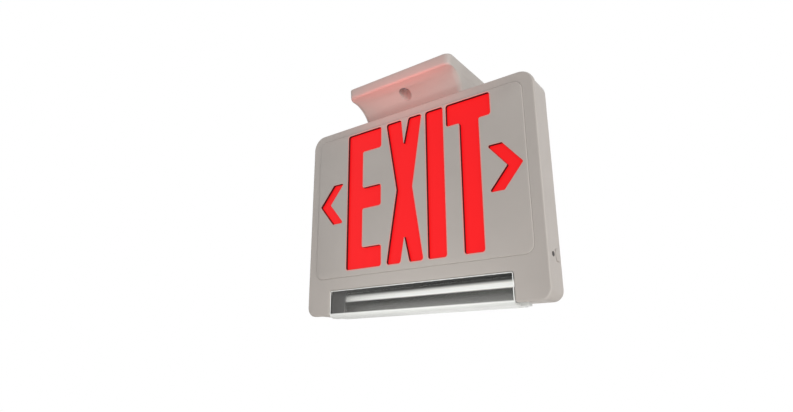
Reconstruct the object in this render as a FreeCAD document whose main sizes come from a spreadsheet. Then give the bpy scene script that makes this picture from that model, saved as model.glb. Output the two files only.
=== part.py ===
import FreeCAD, Part
import math
import os
import re
import Sketcher
from FreeCAD import Rotation, Vector

# Ceiling-hung emergency exit light: a moulded two-shell housing with a back-lit stencil plate, a light bar
# along its foot, and a coved ceiling canopy. Millimetres. The origin is the middle of the ceiling plane that
# the canopy closes against, +Z points up into the ceiling and the legend faces -Y.

SIZES = [
    # the two shells
    ("face_wide", 275, "front cover, left to right"),
    ("face_tall", 210, "front cover, top to foot"),
    ("body_deep", 33, "front of the cover to the back of the housing"),
    ("top_radius", 15, "upper corners of the cover"),
    ("foot_radius", 10.5, "lower corners of the cover"),
    ("cover_wall", 2.2, "wall of the front cover"),
    ("rim_deep", 4, "depth of the cover's rim"),
    ("edge_round", 1.8, "rounding of the cover's front edges"),
    ("lip_thick", 1.5, "locating lip behind the cover"),
    ("lip_reach", 3, "how far the lip enters the housing"),
    ("fit_gap", 0.2, "clearance where one moulding enters another"),
    ("house_inset", 1, "step from the cover's rim back to the housing"),
    ("house_wall", 2.5, "wall of the rear housing"),
    ("back_round", 3, "rounding of the housing's back edge"),
    ("knockout_bore", 22.2, "wire-entry knockout, for half-inch fittings"),
    ("score_wide", 1.2, "width of the knockout's score line"),
    ("score_deep", 0.9, "depth of the knockout's score line"),
    # the legend
    ("panel_margin", 11.5, "side of the cover in to the raised legend panel"),
    ("panel_drop", 9, "top of the cover down to the panel"),
    ("panel_rise", 39, "foot of the cover up to the panel"),
    ("panel_radius", 9, "corners of the panel"),
    ("panel_proud", 0.8, "how far the panel stands out of the cover"),
    ("panel_bevel", 0.5, "bevel of the panel's front edge"),
    ("plate_web", 2.5, "stencil plate's thickness"),
    ("flange_reach", 3.5, "how far the flange behind the cover passes the panel"),
    ("pocket_margin", 1.5, "wall round the diffuser's pocket"),
    ("diffuser_thick", 1.5, "red diffuser sheet"),
    ("box_wall", 1.2, "wall of the light box"),
    ("box_room", 0.4, "back of the light box to the battery strap"),
    ("strip_wide", 6, "width of an LED strip"),
    ("strip_thick", 1.2, "thickness of an LED strip"),
    ("strip_back", 1, "diffuser back to the legend's LED strip"),
    ("strip_margin", 6, "end wall in to the end of an LED strip"),
    ("led_side", 3, "side of one LED"),
    ("led_tall", 1.5, "height of one LED"),
    ("legend_pitch", 15, "spacing of the legend's LEDs"),
    # the light bar
    ("window_margin", 32.5, "side of the cover in to the light bar's window"),
    ("window_tall", 26, "light bar's window, above the foot"),
    ("window_corner", 2, "upper corners of the window"),
    ("leg_corner", 2.5, "corner of the cover beside the foot of the window"),
    ("lens_recess", 0.5, "lens face behind the cover's face"),
    ("lens_wall", 2, "wall of the lens"),
    ("lens_proud", 2, "how far the lens hangs below the foot"),
    ("lens_corner", 3.5, "lower front corner of the lens"),
    ("lens_set", 4.5, "back of the housing in to the back of the lens"),
    ("lens_lip", 6, "upstand at the back of the lens"),
    ("lens_flange", 1.5, "flange that holds the lens behind the cover"),
    ("lens_grip", 4, "how far that flange passes the window"),
    ("tab_long", 7, "latch tab past each end of the lens"),
    ("tab_wide", 8, "width of that tab"),
    ("lip_room", 1.2, "how far past the tabs the cover's lip stops"),
    ("trough_rise", 1, "top of the window up to the top of the trough"),
    ("trough_radius", 17, "rounded back of the reflector's polished trough"),
    ("trough_wall", 1, "wall of the reflector"),
    ("skirt_room", 2, "floor of the lens up to the foot of the reflector"),
    ("slot_wide", 4.4, "slot in the trough for the LEDs"),
    ("slot_back", 6, "front of the trough to the middle of that slot"),
    ("rail_wide", 1.7, "rails beside the slot that carry the LED strip"),
    ("cap_thick", 1.5, "end plate of the trough"),
    ("heel_tall", 13, "heel of the end plate against the housing's back wall"),
    ("bar_pitch", 11, "spacing of the light bar's LEDs"),
    # the canopy
    ("canopy_drop", 31, "ceiling down to the top of the cover"),
    ("canopy_long", 129, "canopy at the ceiling, left to right"),
    ("canopy_deep", 80, "canopy at the ceiling, front to back"),
    ("brim_tall", 8.8, "upright edge of the canopy's brim"),
    ("brim_round", 2.5, "rounding under the brim"),
    ("brim_corner", 5, "corners of the brim, seen from below"),
    ("neck_wide", 21, "neck of the canopy, front to back"),
    ("end_taper", 2.5, "how far each end leans in towards the neck"),
    ("canopy_wall", 2.5, "wall of the canopy"),
    ("canopy_floor", 3, "floor of the canopy's neck"),
    ("well_bore", 13, "well that each canopy screw sits in"),
    ("well_reach", 22, "middle of the canopy out to each screw"),
    ("well_wall", 2, "wall round each well"),
    ("well_seat", 8, "ceiling down to the seat under a screw head"),
    ("screw_bore", 4.5, "clearance hole for a canopy screw"),
    ("screw_shank", 4, "canopy screw's thread"),
    ("screw_head", 8, "canopy screw's head"),
    ("head_tall", 3, "height of that head"),
    # the ceiling plate and the stem
    ("bar_end", 1.55, "metal past each slot of the ceiling plate's long arm"),
    ("bar_wide", 26, "ceiling plate's long arm, front to back"),
    ("arm_end", 9, "middle of a canopy screw to the end of the cross arm"),
    ("arm_wide", 20, "ceiling plate's cross arm, left to right"),
    ("plate_thick", 1.6, "sheet of the ceiling plate"),
    ("box_spacing", 88.9, "junction box screws, centre to centre"),
    ("box_slot_wide", 5, "slot for a junction box screw"),
    ("box_slot_long", 12, "end to end of that slot"),
    ("plate_hole", 20, "wire hole in the ceiling plate"),
    ("stem_bore", 6, "bore of the threaded nipple"),
    ("stem_size", 10, "outside of the threaded nipple"),
    ("stem_above", 8, "nipple above the canopy's floor"),
    ("stem_below", 5.5, "nipple below the housing's top wall"),
    ("nut_flats", 13, "locknut across its flats"),
    ("nut_tall", 3, "height of a locknut"),
    # the electronics bay
    ("post_size", 9, "crossed posts that carry the light box"),
    ("post_rib", 1.6, "ribs of a crossed post"),
    ("post_side", 9.3, "light box's side in to a post"),
    ("post_inset", 15, "light box's top or foot in to a post"),
    ("pillar_size", 7, "pillars that carry boards and strap"),
    ("pillar_tall", 4, "height of a pillar"),
    ("board_wide", 88, "charging board, left to right"),
    ("board_tall", 70, "charging board, top to foot"),
    ("board_margin", 24, "housing's wall in to the board's right edge"),
    ("board_drop", 62, "ceiling down to the board's top edge"),
    ("board_thick", 1.6, "sheet of the boards"),
    ("board_corner", 5, "board's edge in to a screw"),
    ("pin_shank", 2.9, "small screw's thread"),
    ("pin_bore", 3, "hole in a pillar for that thread"),
    ("pin_clear", 3.2, "hole in a board for that thread"),
    ("pin_head", 5.6, "small screw's head"),
    ("pin_head_tall", 1.8, "height of that head"),
    ("cell_size", 14.2, "diameter of one battery cell"),
    ("cell_long", 50, "length of one battery cell"),
    ("cell_count", 4, "cells in the pack"),
    ("cell_margin", 22, "housing's wall in to the pack's left side"),
    ("cell_rise", 69.5, "housing's floor up to the foot of the pack"),
    ("strap_wide", 12, "battery strap, top to foot"),
    ("strap_thick", 0.8, "sheet of the battery strap"),
    ("strap_foot", 11, "length of each foot of the strap"),
    ("sleeve_deep", 7, "sleeve between two cells, front to back"),
    ("core_left", 15, "board's left edge in to the transformer"),
    ("core_drop", 10, "board's top edge down to the transformer"),
    ("core_wide", 32, "transformer core, left to right"),
    ("core_tall", 28, "transformer core, top to foot"),
    ("coil_deep", 9, "transformer coil, off the board"),
    ("coil_reach", 1.8, "how far the coil passes the core, in front and behind"),
    ("core_limb", 5, "outer limb of the core"),
    ("core_centre", 8, "middle limb of the core"),
    ("can_size", 8, "diameter of a capacitor"),
    ("can_tall", 9, "height of a capacitor"),
    ("can_count", 3, "capacitors in the row"),
    ("can_pitch", 10, "spacing of the capacitors, the first from the transformer's side"),
    ("block_rise", 5, "board's foot up to the terminal block"),
    ("block_wide", 30, "terminal block, left to right"),
    ("block_tall", 9, "terminal block, top to foot"),
    ("block_deep", 8, "terminal block, off the board"),
    ("block_ways", 5, "wires that the terminal block takes"),
    ("way_size", 3.3, "side of a wire's entry"),
    ("way_deep", 6.3, "depth of that entry"),
    # the test button and the pilot lamp
    ("side_wide", 21, "side board, front to back"),
    ("side_tall", 24, "side board, top to foot"),
    ("side_room", 0.7, "side board in to the light box"),
    ("guide_thick", 2.5, "guides that hold the side board"),
    ("guide_long", 7, "length of those guides, off the back wall"),
    ("button_level", 39.2, "foot of the cover up to the button's middle"),
    ("button_set", 10, "back of the housing in to the button's middle"),
    ("button_wide", 8, "button, front to back"),
    ("button_tall", 11, "button, top to foot"),
    ("button_round", 2.5, "corners of the button"),
    ("button_proud", 0.8, "how far the button stands out of the wall"),
    ("button_gap", 0.2, "clearance round the button"),
    ("button_flange", 1, "flange round the button inside the wall"),
    ("flange_thick", 1.2, "thickness of that flange"),
    ("flange_room", 0.3, "flange to the inside of the wall at rest"),
    ("button_travel", 1.2, "stroke of the button"),
    ("plunger_size", 3.5, "button's plunger"),
    ("plunger_clear", 0.05, "clearance round the plunger"),
    ("switch_side", 9, "side of the switch body"),
    ("switch_deep", 4.6, "switch body, off the side board"),
    ("switch_floor", 0.6, "floor of the switch under the plunger"),
    ("travel_spare", 0.6, "room under the plunger at full stroke"),
    ("pilot_step", 10, "button's middle forward to the pilot lamp's"),
    ("pilot_size", 4.4, "diameter of the pilot lamp"),
    ("pilot_gap", 0.1, "clearance round the pilot lamp"),
    ("pilot_proud", 0.3, "how far the lamp stands out of the wall"),
]

# places worked out from the sizes above, as expressions of them and of each other
PLACES = {
    "top": "-canopy_drop",
    "foot": "top - face_tall",
    "front": "-body_deep / 2",
    "back": "body_deep / 2",
    "half": "face_wide / 2",
    "rim_back": "front + rim_deep",
    "cover_back": "front + cover_wall",
    "house_half": "half - house_inset",
    "house_top": "top - house_inset",
    "house_foot": "foot + house_inset",
    "bay_half": "house_half - house_wall",
    "bay_top": "house_top - house_wall",
    "bay_foot": "house_foot + house_wall",
    "bay_back": "back - house_wall",
    "lip_half": "bay_half - fit_gap",
    "lip_top": "bay_top - fit_gap",
    "lip_foot": "bay_foot + fit_gap",
    "panel_half": "half - panel_margin",
    "panel_top": "top - panel_drop",
    "panel_foot": "foot + panel_rise",
    "plate_front": "front - panel_proud",
    "web_back": "plate_front + plate_web",
    "pocket_half": "panel_half - pocket_margin",
    "pocket_top": "panel_top - pocket_margin",
    "pocket_foot": "panel_foot + pocket_margin",
    "diffuser_back": "web_back + diffuser_thick",
    "diffuser_half": "pocket_half - fit_gap",
    "box_half": "side_inner - side_room",
    "box_top": "pocket_top - fit_gap",
    "box_foot": "pocket_foot + fit_gap",
    "box_back": "strap_front - box_room",
    "strip_floor": "box_foot + box_wall",
    "window_half": "half - window_margin",
    "window_top": "foot + window_tall",
    "lens_half": "window_half - fit_gap",
    "lens_face": "front + lens_recess",
    "lens_foot": "foot - lens_proud",
    "lens_rear": "back - lens_set",
    "lens_flange_back": "cover_back + lens_flange",
    "lens_flange_top": "window_top + lens_grip",
    "mouth_half": "window_half + fit_gap",
    "mouth_back": "lens_rear + fit_gap",
    "trough_half": "window_half + fit_gap",
    "trough_outer": "trough_radius + trough_wall",
    "trough_front": "lens_flange_back + fit_gap",
    "trough_back": "lens_rear - lens_wall - fit_gap / 2",
    "trough_inner": "trough_back - trough_wall",
    "trough_top": "window_top + trough_rise",
    "trough_foot": "lens_foot + lens_wall + skirt_room",
    "arc_y": "trough_inner - trough_radius",
    "arc_z": "trough_top - trough_radius",
    "slot_y": "trough_front + slot_back",
    "strip_foot": "trough_top + trough_wall + fit_gap",
    "cap_top": "strip_foot + strip_thick",
    "brim_half": "canopy_deep / 2",
    "cove_y": "brim_half - brim_round",
    "cove_top": "-brim_tall - brim_round",
    "cove_tall": "cove_top - house_top",
    "cove_radius": "(pow(cove_y - neck_half; 2) + pow(cove_tall; 2)) / (cove_tall * 2)",
    "cove_z": "cove_top - cove_radius",
    "neck_half": "neck_wide / 2",
    "hollow_radius": "cove_radius + canopy_wall",
    "floor_top": "house_top + canopy_floor",
    "hollow_half": "cove_y - sqrt(pow(hollow_radius; 2) - pow(floor_top - cove_z; 2))",
    "hollow_end": "canopy_long / 2 - end_taper - canopy_wall",
    "bar_half": "box_spacing / 2 + box_slot_long / 2 + bar_end",
    "arm_half": "well_reach + arm_end",
    "board_front": "bay_back - pillar_tall - board_thick",
    "board_right": "bay_half - board_margin",
    "board_left": "board_right - board_wide",
    "board_foot": "-board_drop - board_tall",
    "cell_left": "-bay_half + cell_margin",
    "pack_right": "cell_left + cell_size * cell_count",
    "pack_foot": "bay_foot + cell_rise",
    "pack_top": "pack_foot + cell_long",
    "pack_middle_y": "bay_back - cell_size / 2",
    "strap_top": "pack_foot + cell_long / 2 + strap_wide / 2",
    "strap_low": "strap_top - strap_wide",
    "strap_inner": "bay_back - cell_size - fit_gap / 2",
    "strap_front": "strap_inner - strap_thick",
    "pillar_front": "bay_back - pillar_tall",
    "button_y": "back - button_set",
    "button_z": "foot + button_level",
    "pilot_y": "button_y - pilot_step",
    "flange_outer": "bay_half - flange_room",
    "flange_inner": "flange_outer - flange_thick",
    "switch_face": "flange_inner - button_travel - fit_gap / 2",
    "side_outer": "switch_face - switch_deep",
    "side_inner": "side_outer - board_thick",
    "side_top": "button_z + side_tall / 2",
    "side_low": "button_z - side_tall / 2",
    "side_front": "bay_back - side_wide",
    "button_face": "house_half + button_proud",
    "plunger_end": "side_outer + switch_floor + travel_spare + button_travel",
}

doc = FreeCAD.newDocument("exit_light")
sheet = doc.addObject("Spreadsheet::Sheet", "dims")
for row, (alias, number, note) in enumerate(SIZES, 1):
    sheet.set(f"A{row}", alias)
    sheet.set(f"B{row}", str(number))
    sheet.set(f"C{row}", note)
    sheet.setAlias(f"B{row}", alias)
doc.recompute()
ALIASES = {alias for alias, number, note in SIZES}


def linked(text):
    """The expression with every place spelt out and every size read from the sheet."""
    def spell(match):
        word = match.group(0)
        if word in PLACES:
            return f"({linked(PLACES[word])})"
        return f"dims.{word}" if word in ALIASES else word
    return re.sub(r"[a-z]\w*", spell, text)


def number(text):
    """The expression's present value, for starting shapes and for counting copies."""
    return float(sheet.evalExpression(linked(text)))


def bind(thing, **texts):
    for name, text in texts.items():
        thing.setExpression(name, linked(text))
    return thing


def place(thing, x="0", y="0", z="0"):
    for axis, text in zip("xyz", (x, y, z)):
        thing.setExpression(f"Placement.Base.{axis}", linked(text))
    return thing


# ---- Part solids ----------------------------------------------------------------------------------------

TURNED = {"X": Rotation(Vector(0, 1, 0), 90), "Y": Rotation(Vector(1, 0, 0), -90), "Z": Rotation()}


def block(name, x, y, z):
    """A box between pairs of low and high places."""
    solid = doc.addObject("Part::Box", name)
    for length, (low, high) in zip(("Length", "Width", "Height"), (x, y, z)):
        solid.setExpression(length, linked(f"({high}) - ({low})"))
    return place(solid, x[0], y[0], z[0])


def rod(name, size, axis, length, at):
    """A cylinder of the given diameter that starts at a point and runs along an axis."""
    solid = doc.addObject("Part::Cylinder", name)
    bind(solid, Radius=f"({size}) / 2", Height=length)
    solid.Placement = FreeCAD.Placement(Vector(), TURNED[axis])
    return place(solid, *at)


# what is small, round and repeated has this many flats: inside its circle on a solid, around it on a hole
FLATS = 12
AROUND = 1 / math.cos(math.pi / FLATS)


def stud(name, size, axis, length, at, hole=False):
    """A rod with flats, for what repeats."""
    solid = doc.addObject("Part::Prism", name)
    solid.Polygon = FLATS
    bind(solid, Circumradius=f"({size}) / 2 * {AROUND if hole else 1}", Height=length)
    solid.Placement = FreeCAD.Placement(Vector(), TURNED[axis])
    return place(solid, *at)


def fused(label, *solids):
    whole = doc.addObject("Part::MultiFuse", label)
    whole.Shapes = list(solids)
    whole.Refine = True
    return whole


def carved(label, solid, *tools):
    """The solid less every tool."""
    whole = doc.addObject("Part::Cut", label)
    whole.Base = solid
    whole.Tool = tools[0] if len(tools) == 1 else fused(label + "_tools", *tools)
    whole.Refine = True
    return whole


def grouped(label, solids):
    """Separate solids that share one node."""
    group = doc.addObject("Part::Compound", label)
    group.Links = list(solids)
    return group


# ---- PartDesign bodies -----------------------------------------------------------------------------------

def new_body(label):
    return doc.addObject("PartDesign::Body", label)


def new_sketch(body, name, plane, lift="0"):
    """A sketch on one of the body's origin planes, lifted along that plane's normal."""
    sketch = body.newObject("Sketcher::SketchObject", name)
    support = next(f for f in body.Origin.OriginFeatures if f.Role == plane + "_Plane")
    sketch.AttachmentSupport = [(support, "")]
    sketch.MapMode = "FlatFace"
    sketch.setExpression("AttachmentOffset.Base.z", linked(lift))
    return sketch


def arc_between(start, end, radius):
    """A circular arc from start to end; a positive radius keeps its centre on the left of travel."""
    chord = end - start
    left = Vector(-chord.y, chord.x, 0).normalize()
    rise = math.sqrt(max(radius ** 2 - chord.Length ** 2 / 4, 0))
    centre = (start + end) / 2 + left * math.copysign(rise, radius)
    angles = [math.atan2(p.y - centre.y, p.x - centre.x) for p in (start, end)]
    if radius < 0:
        angles.reverse()
    return Part.ArcOfCircle(Part.Circle(centre, Vector(0, 0, 1), abs(radius)), *angles)


def draw(sketch, corners):
    """A closed outline through the corners, counter-clockwise: (x, y) ends a straight edge, (x, y, radius) an
    arc, with a minus sign on the radius where the outline bends inwards. Every corner's place is bound."""
    points = [Vector(number(c[0]), number(c[1]), 0) for c in corners]
    joints = []
    for index, corner in enumerate(corners):
        start, end = points[index - 1], points[index]
        if len(corner) == 2:
            geometry, ends = Part.LineSegment(start, end), (1, 2)
        else:
            radius = number(corner[2])
            geometry = arc_between(start, end, radius)
            ends = (1, 2) if radius > 0 else (2, 1)
        joints.append((sketch.addGeometry(geometry, False), ends))
    for index, corner in enumerate(corners):
        edge, ends = joints[index]
        after, after_ends = joints[(index + 1) % len(corners)]
        sketch.addConstraint(Sketcher.Constraint("Coincident", edge, ends[1], after, after_ends[0]))
        for kind, text, value in (("DistanceX", corner[0], points[index].x),
                                  ("DistanceY", corner[1], points[index].y)):
            fixed = sketch.addConstraint(Sketcher.Constraint(kind, -1, 1, edge, ends[1], value))
            sketch.setExpression(f"Constraints[{fixed}]", linked(text))
        if len(corner) == 3:
            text = corner[2].lstrip("-")
            fixed = sketch.addConstraint(Sketcher.Constraint("Radius", edge, abs(number(text))))
            sketch.setExpression(f"Constraints[{fixed}]", linked(text))


def rounded(sketch, left, right, low, high, low_radius, high_radius=None):
    """A rectangle with rounded corners, the lower pair and the upper pair each with a radius of its own."""
    high_radius = high_radius or low_radius
    draw(sketch, [
        (f"{left} + {low_radius}", low, low_radius), (f"{right} - {low_radius}", low),
        (right, f"{low} + {low_radius}", low_radius), (right, f"{high} - {high_radius}"),
        (f"{right} - {high_radius}", high, high_radius), (f"{left} + {high_radius}", high),
        (left, f"{high} - {high_radius}", high_radius), (left, f"{low} + {low_radius}")])


def rectangle(sketch, left, right, low, high):
    draw(sketch, [(left, low), (right, low), (right, high), (left, high)])


def slot(sketch, middle, wide, long):
    """A slot along x about a point on the x axis, with round ends."""
    left, right, side = f"{middle} - {long} / 2", f"{middle} + {long} / 2", f"{wide} / 2"
    draw(sketch, [(f"{left} + {side}", f"-{side}", f"({side})"), (f"{right} - {side}", f"-{side}"),
                  (right, "0", f"({side})"), (f"{right} - {side}", side, f"({side})"),
                  (f"{left} + {side}", side), (left, "0", f"({side})")])


def ring(sketch, x, y, size):
    """A circle of the given diameter about a bound centre."""
    circle = Part.Circle(Vector(number(x), number(y), 0), Vector(0, 0, 1), number(size) / 2)
    edge = sketch.addGeometry(circle, False)
    rules = (("DistanceX", (-1, 1, edge, 3, number(x)), x), ("DistanceY", (-1, 1, edge, 3, number(y)), y),
             ("Diameter", (edge, number(size)), size))
    for kind, place_of, text in rules:
        fixed = sketch.addConstraint(Sketcher.Constraint(kind, *place_of))
        sketch.setExpression(f"Constraints[{fixed}]", linked(text))


def flatted_ring(sketch, x, y, size, hole=False):
    """The outline of a stud about a point."""
    turns = [2 * math.pi * step / FLATS for step in range(FLATS)]
    reach = f"({size}) / 2 * {AROUND if hole else 1}"
    draw(sketch, [(f"{x} + {reach} * ({math.cos(turn)})", f"{y} + {reach} * ({math.sin(turn)})")
                  for turn in turns])


def cross(sketch, x, y, reach_x, side_x, reach_y, side_y):
    """A cross about a point: one arm reaches along x with side_x on each side of it, the other along y."""
    draw(sketch, [(f"{x} {sign_x} ({far_x})", f"{y} {sign_y} ({far_y})") for sign_x, far_x, sign_y, far_y in (
        ("-", reach_x, "-", side_x), ("-", side_y, "-", side_x), ("-", side_y, "-", reach_y),
        ("+", side_y, "-", reach_y), ("+", side_y, "-", side_x), ("+", reach_x, "-", side_x),
        ("+", reach_x, "+", side_x), ("+", side_y, "+", side_x), ("+", side_y, "+", reach_y),
        ("-", side_y, "+", reach_y), ("-", side_y, "+", side_x), ("-", reach_x, "+", side_x))])


def pad(body, name, sketch, length, reverse=False, both=False):
    feature = body.newObject("PartDesign::Pad", name)
    feature.Profile = sketch
    feature.Reversed = reverse
    feature.Midplane = both
    bind(feature, Length=length)
    sketch.Visibility = False
    return feature


def pocket(body, name, sketch, length=None, reverse=False, both=False):
    """Cuts the sketch to a depth, or through everything where no depth is given. A cut runs against the
    sketch plane's normal, so from a face sketch it runs towards the back unless it is reversed."""
    feature = body.newObject("PartDesign::Pocket", name)
    feature.Profile = sketch
    feature.Reversed = reverse
    feature.Midplane = both
    if length:
        bind(feature, Length=length)
    else:
        feature.Type = "ThroughAll"
    sketch.Visibility = False
    return feature


def dressed(kind, size_name, body, name, size, chosen):
    """A fillet or chamfer on the edges of the body's tip that the test chooses."""
    doc.recompute()
    base = body.Tip
    edges = [f"Edge{i}" for i, edge in enumerate(base.Shape.Edges, 1) if chosen(edge)]
    if not edges:
        raise RuntimeError(f"{body.Label}: no edge for {name}")
    feature = body.newObject(kind, name)
    feature.Base = (base, edges)
    bind(feature, **{size_name: size})
    return feature


def fillet(body, name, radius, chosen):
    return dressed("PartDesign::Fillet", "Radius", body, name, radius, chosen)


def chamfer(body, name, size, chosen):
    return dressed("PartDesign::Chamfer", "Size", body, name, size, chosen)


def spans(edge, axis):
    """The lowest and highest place of an edge along an axis."""
    box = edge.BoundBox
    return getattr(box, axis + "Min"), getattr(box, axis + "Max")


def lies_at(edge, axis, level, slack=0.01):
    return all(abs(end - level) < slack for end in spans(edge, axis))


# sketches on the XZ plane look towards +Y, so a lift of -y puts one at y and a pad runs towards the viewer
def face_sketch(body, name, y):
    return new_sketch(body, name, "XZ", f"-({y})")


# ---- the front cover and what it frames ------------------------------------------------------------------

def make_front_cover():
    body = new_body("front_cover")
    sketch = face_sketch(body, "cover_outline", "front")
    rounded(sketch, "-half", "half", "foot", "top", "foot_radius", "top_radius")
    pad(body, "cover_block", sketch, "rim_deep", reverse=True)
    sketch = face_sketch(body, "cover_hollow", "cover_back")
    rounded(sketch, "-half + cover_wall", "half - cover_wall", "foot + cover_wall", "top - cover_wall",
            "(foot_radius - cover_wall)", "(top_radius - cover_wall)")
    pocket(body, "cover_shell", sketch, "rim_deep - cover_wall")
    # the locating lip stands behind the cover, just inside the housing's wall
    sketch = face_sketch(body, "lip_outline", "cover_back")
    inset = "(house_inset + house_wall + fit_gap)"
    deep = "(house_inset + house_wall + fit_gap + lip_thick)"
    rounded(sketch, "-lip_half", "lip_half", "lip_foot", "lip_top",
            f"(foot_radius - {inset})", f"(top_radius - {inset})")
    rounded(sketch, "-lip_half + lip_thick", "lip_half - lip_thick", "lip_foot + lip_thick",
            "lip_top - lip_thick", f"(foot_radius - {deep})", f"(top_radius - {deep})")
    pad(body, "lip", sketch, "rim_deep - cover_wall + lip_reach", reverse=True)
    # the lip stops short of the light bar's end plates
    sketch = face_sketch(body, "lip_gap_outline", "cover_back")
    gap_half = "(lens_half + tab_long + lip_room)"
    rectangle(sketch, f"-{gap_half}", gap_half, "lip_foot - fit_gap", "window_top")
    pocket(body, "lip_gap", sketch, "rim_deep - cover_wall + lip_reach + fit_gap")
    sketch = face_sketch(body, "window_outline", "front")
    # the window is open at the foot, where each leg has a rounded corner beside it
    low, flare = "foot - edge_round", "window_half + leg_corner"
    draw(sketch, [
        (f"-({flare})", low), (flare, low), (flare, "foot"),
        ("window_half", "foot + leg_corner", "-leg_corner"), ("window_half", "window_top - window_corner"),
        ("window_half - window_corner", "window_top", "window_corner"),
        ("-window_half + window_corner", "window_top"),
        ("-window_half", "window_top - window_corner", "window_corner"),
        ("-window_half", "foot + leg_corner"), (f"-({flare})", "foot", "-leg_corner")])
    pocket(body, "window", sketch, both=True)
    front = number("front")
    fillet(body, "front_edge", "edge_round", lambda edge: lies_at(edge, "Y", front))
    sketch = face_sketch(body, "panel_hole_outline", "front")
    rounded(sketch, "-panel_half - fit_gap", "panel_half + fit_gap", "panel_foot - fit_gap",
            "panel_top + fit_gap", "(panel_radius + fit_gap)")
    pocket(body, "panel_hole", sketch, both=True)
    return body


def make_stencil_plate():
    """The legend's plate, left uncut: a raised panel with a flange and a pocket for the diffuser behind."""
    body = new_body("stencil_plate")
    sketch = face_sketch(body, "panel_outline", "plate_front")
    rounded(sketch, "-panel_half", "panel_half", "panel_foot", "panel_top", "panel_radius")
    pad(body, "panel", sketch, "cover_back - plate_front", reverse=True)
    sketch = face_sketch(body, "flange_outline", "cover_back")
    rounded(sketch, "-panel_half - flange_reach", "panel_half + flange_reach", "panel_foot - flange_reach",
            "panel_top + flange_reach", "(panel_radius + flange_reach)")
    pad(body, "flange", sketch, "diffuser_back - cover_back", reverse=True)
    sketch = face_sketch(body, "pocket_outline", "web_back")
    rounded(sketch, "-pocket_half", "pocket_half", "pocket_foot", "pocket_top",
            "(panel_radius - pocket_margin)")
    pocket(body, "diffuser_pocket", sketch, "diffuser_thick")
    plate_front = number("plate_front")
    chamfer(body, "panel_edge", "panel_bevel", lambda edge: lies_at(edge, "Y", plate_front))
    return body


def make_red_diffuser():
    body = new_body("red_diffuser")
    sketch = face_sketch(body, "diffuser_outline", "web_back")
    rounded(sketch, "-diffuser_half", "diffuser_half", "box_foot", "box_top",
            "(panel_radius - pocket_margin - fit_gap)")
    pad(body, "sheet", sketch, "diffuser_thick", reverse=True)
    return body


def make_light_box():
    """The white tray that spreads the legend's light; its rim presses the diffuser into the plate."""
    body = new_body("light_box")
    sketch = face_sketch(body, "tray_outline", "diffuser_back")
    corner = "(panel_radius - pocket_margin - fit_gap)"
    rounded(sketch, "-box_half", "box_half", "box_foot", "box_top", corner)
    pad(body, "tray", sketch, "box_back - diffuser_back", reverse=True)
    sketch = face_sketch(body, "tray_hollow", "diffuser_back")
    rounded(sketch, "-box_half + box_wall", "box_half - box_wall", "box_foot + box_wall",
            "box_top - box_wall", f"({corner} - box_wall)")
    pocket(body, "tray_shell", sketch, "box_back - diffuser_back - box_wall")
    return body


def led_row(label, half, pitch, y, foot, top):
    """As many LEDs as a strip has room for, side by side and centred on the middle of the light."""
    count = int(number(f"{half} * 2 / {pitch}"))
    solids = []
    for index in range(count):
        middle = f"{pitch} * ({index} - ({count} - 1) / 2)"
        solids.append(block(f"{label}_{index}", (f"{middle} - led_side / 2", f"{middle} + led_side / 2"),
                            (f"{y} - led_side / 2", f"{y} + led_side / 2"), (foot, top)))
    return grouped(label, solids)


def make_legend_lights():
    middle = "diffuser_back + strip_back + strip_wide / 2"
    half = "(box_half - box_wall - strip_margin)"
    board = block("legend_led_board", (f"-{half}", half),
                  (f"{middle} - strip_wide / 2", f"{middle} + strip_wide / 2"),
                  ("strip_floor", "strip_floor + strip_thick"))
    lamps = led_row("legend_lamps", half, "legend_pitch", middle, "strip_floor + strip_thick",
                    "strip_floor + strip_thick + led_tall")
    return [board, lamps]


# ---- the rear housing ------------------------------------------------------------------------------------

POSTS = [(side, level) for side in ("-box_half + post_side", "box_half - post_side")
         for level in ("box_top - post_inset", "box_foot + post_inset")]
BOARD_SCREWS = [(x, z) for x in ("board_left + board_corner", "board_right - board_corner")
                for z in ("-board_drop - board_corner", "board_foot + board_corner")]
STRAP_SCREWS = [(x, "(strap_top + strap_low) / 2") for x in ("cell_left - strap_foot / 2 - strap_thick",
                                                             "pack_right + strap_foot / 2 + strap_thick")]


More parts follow.
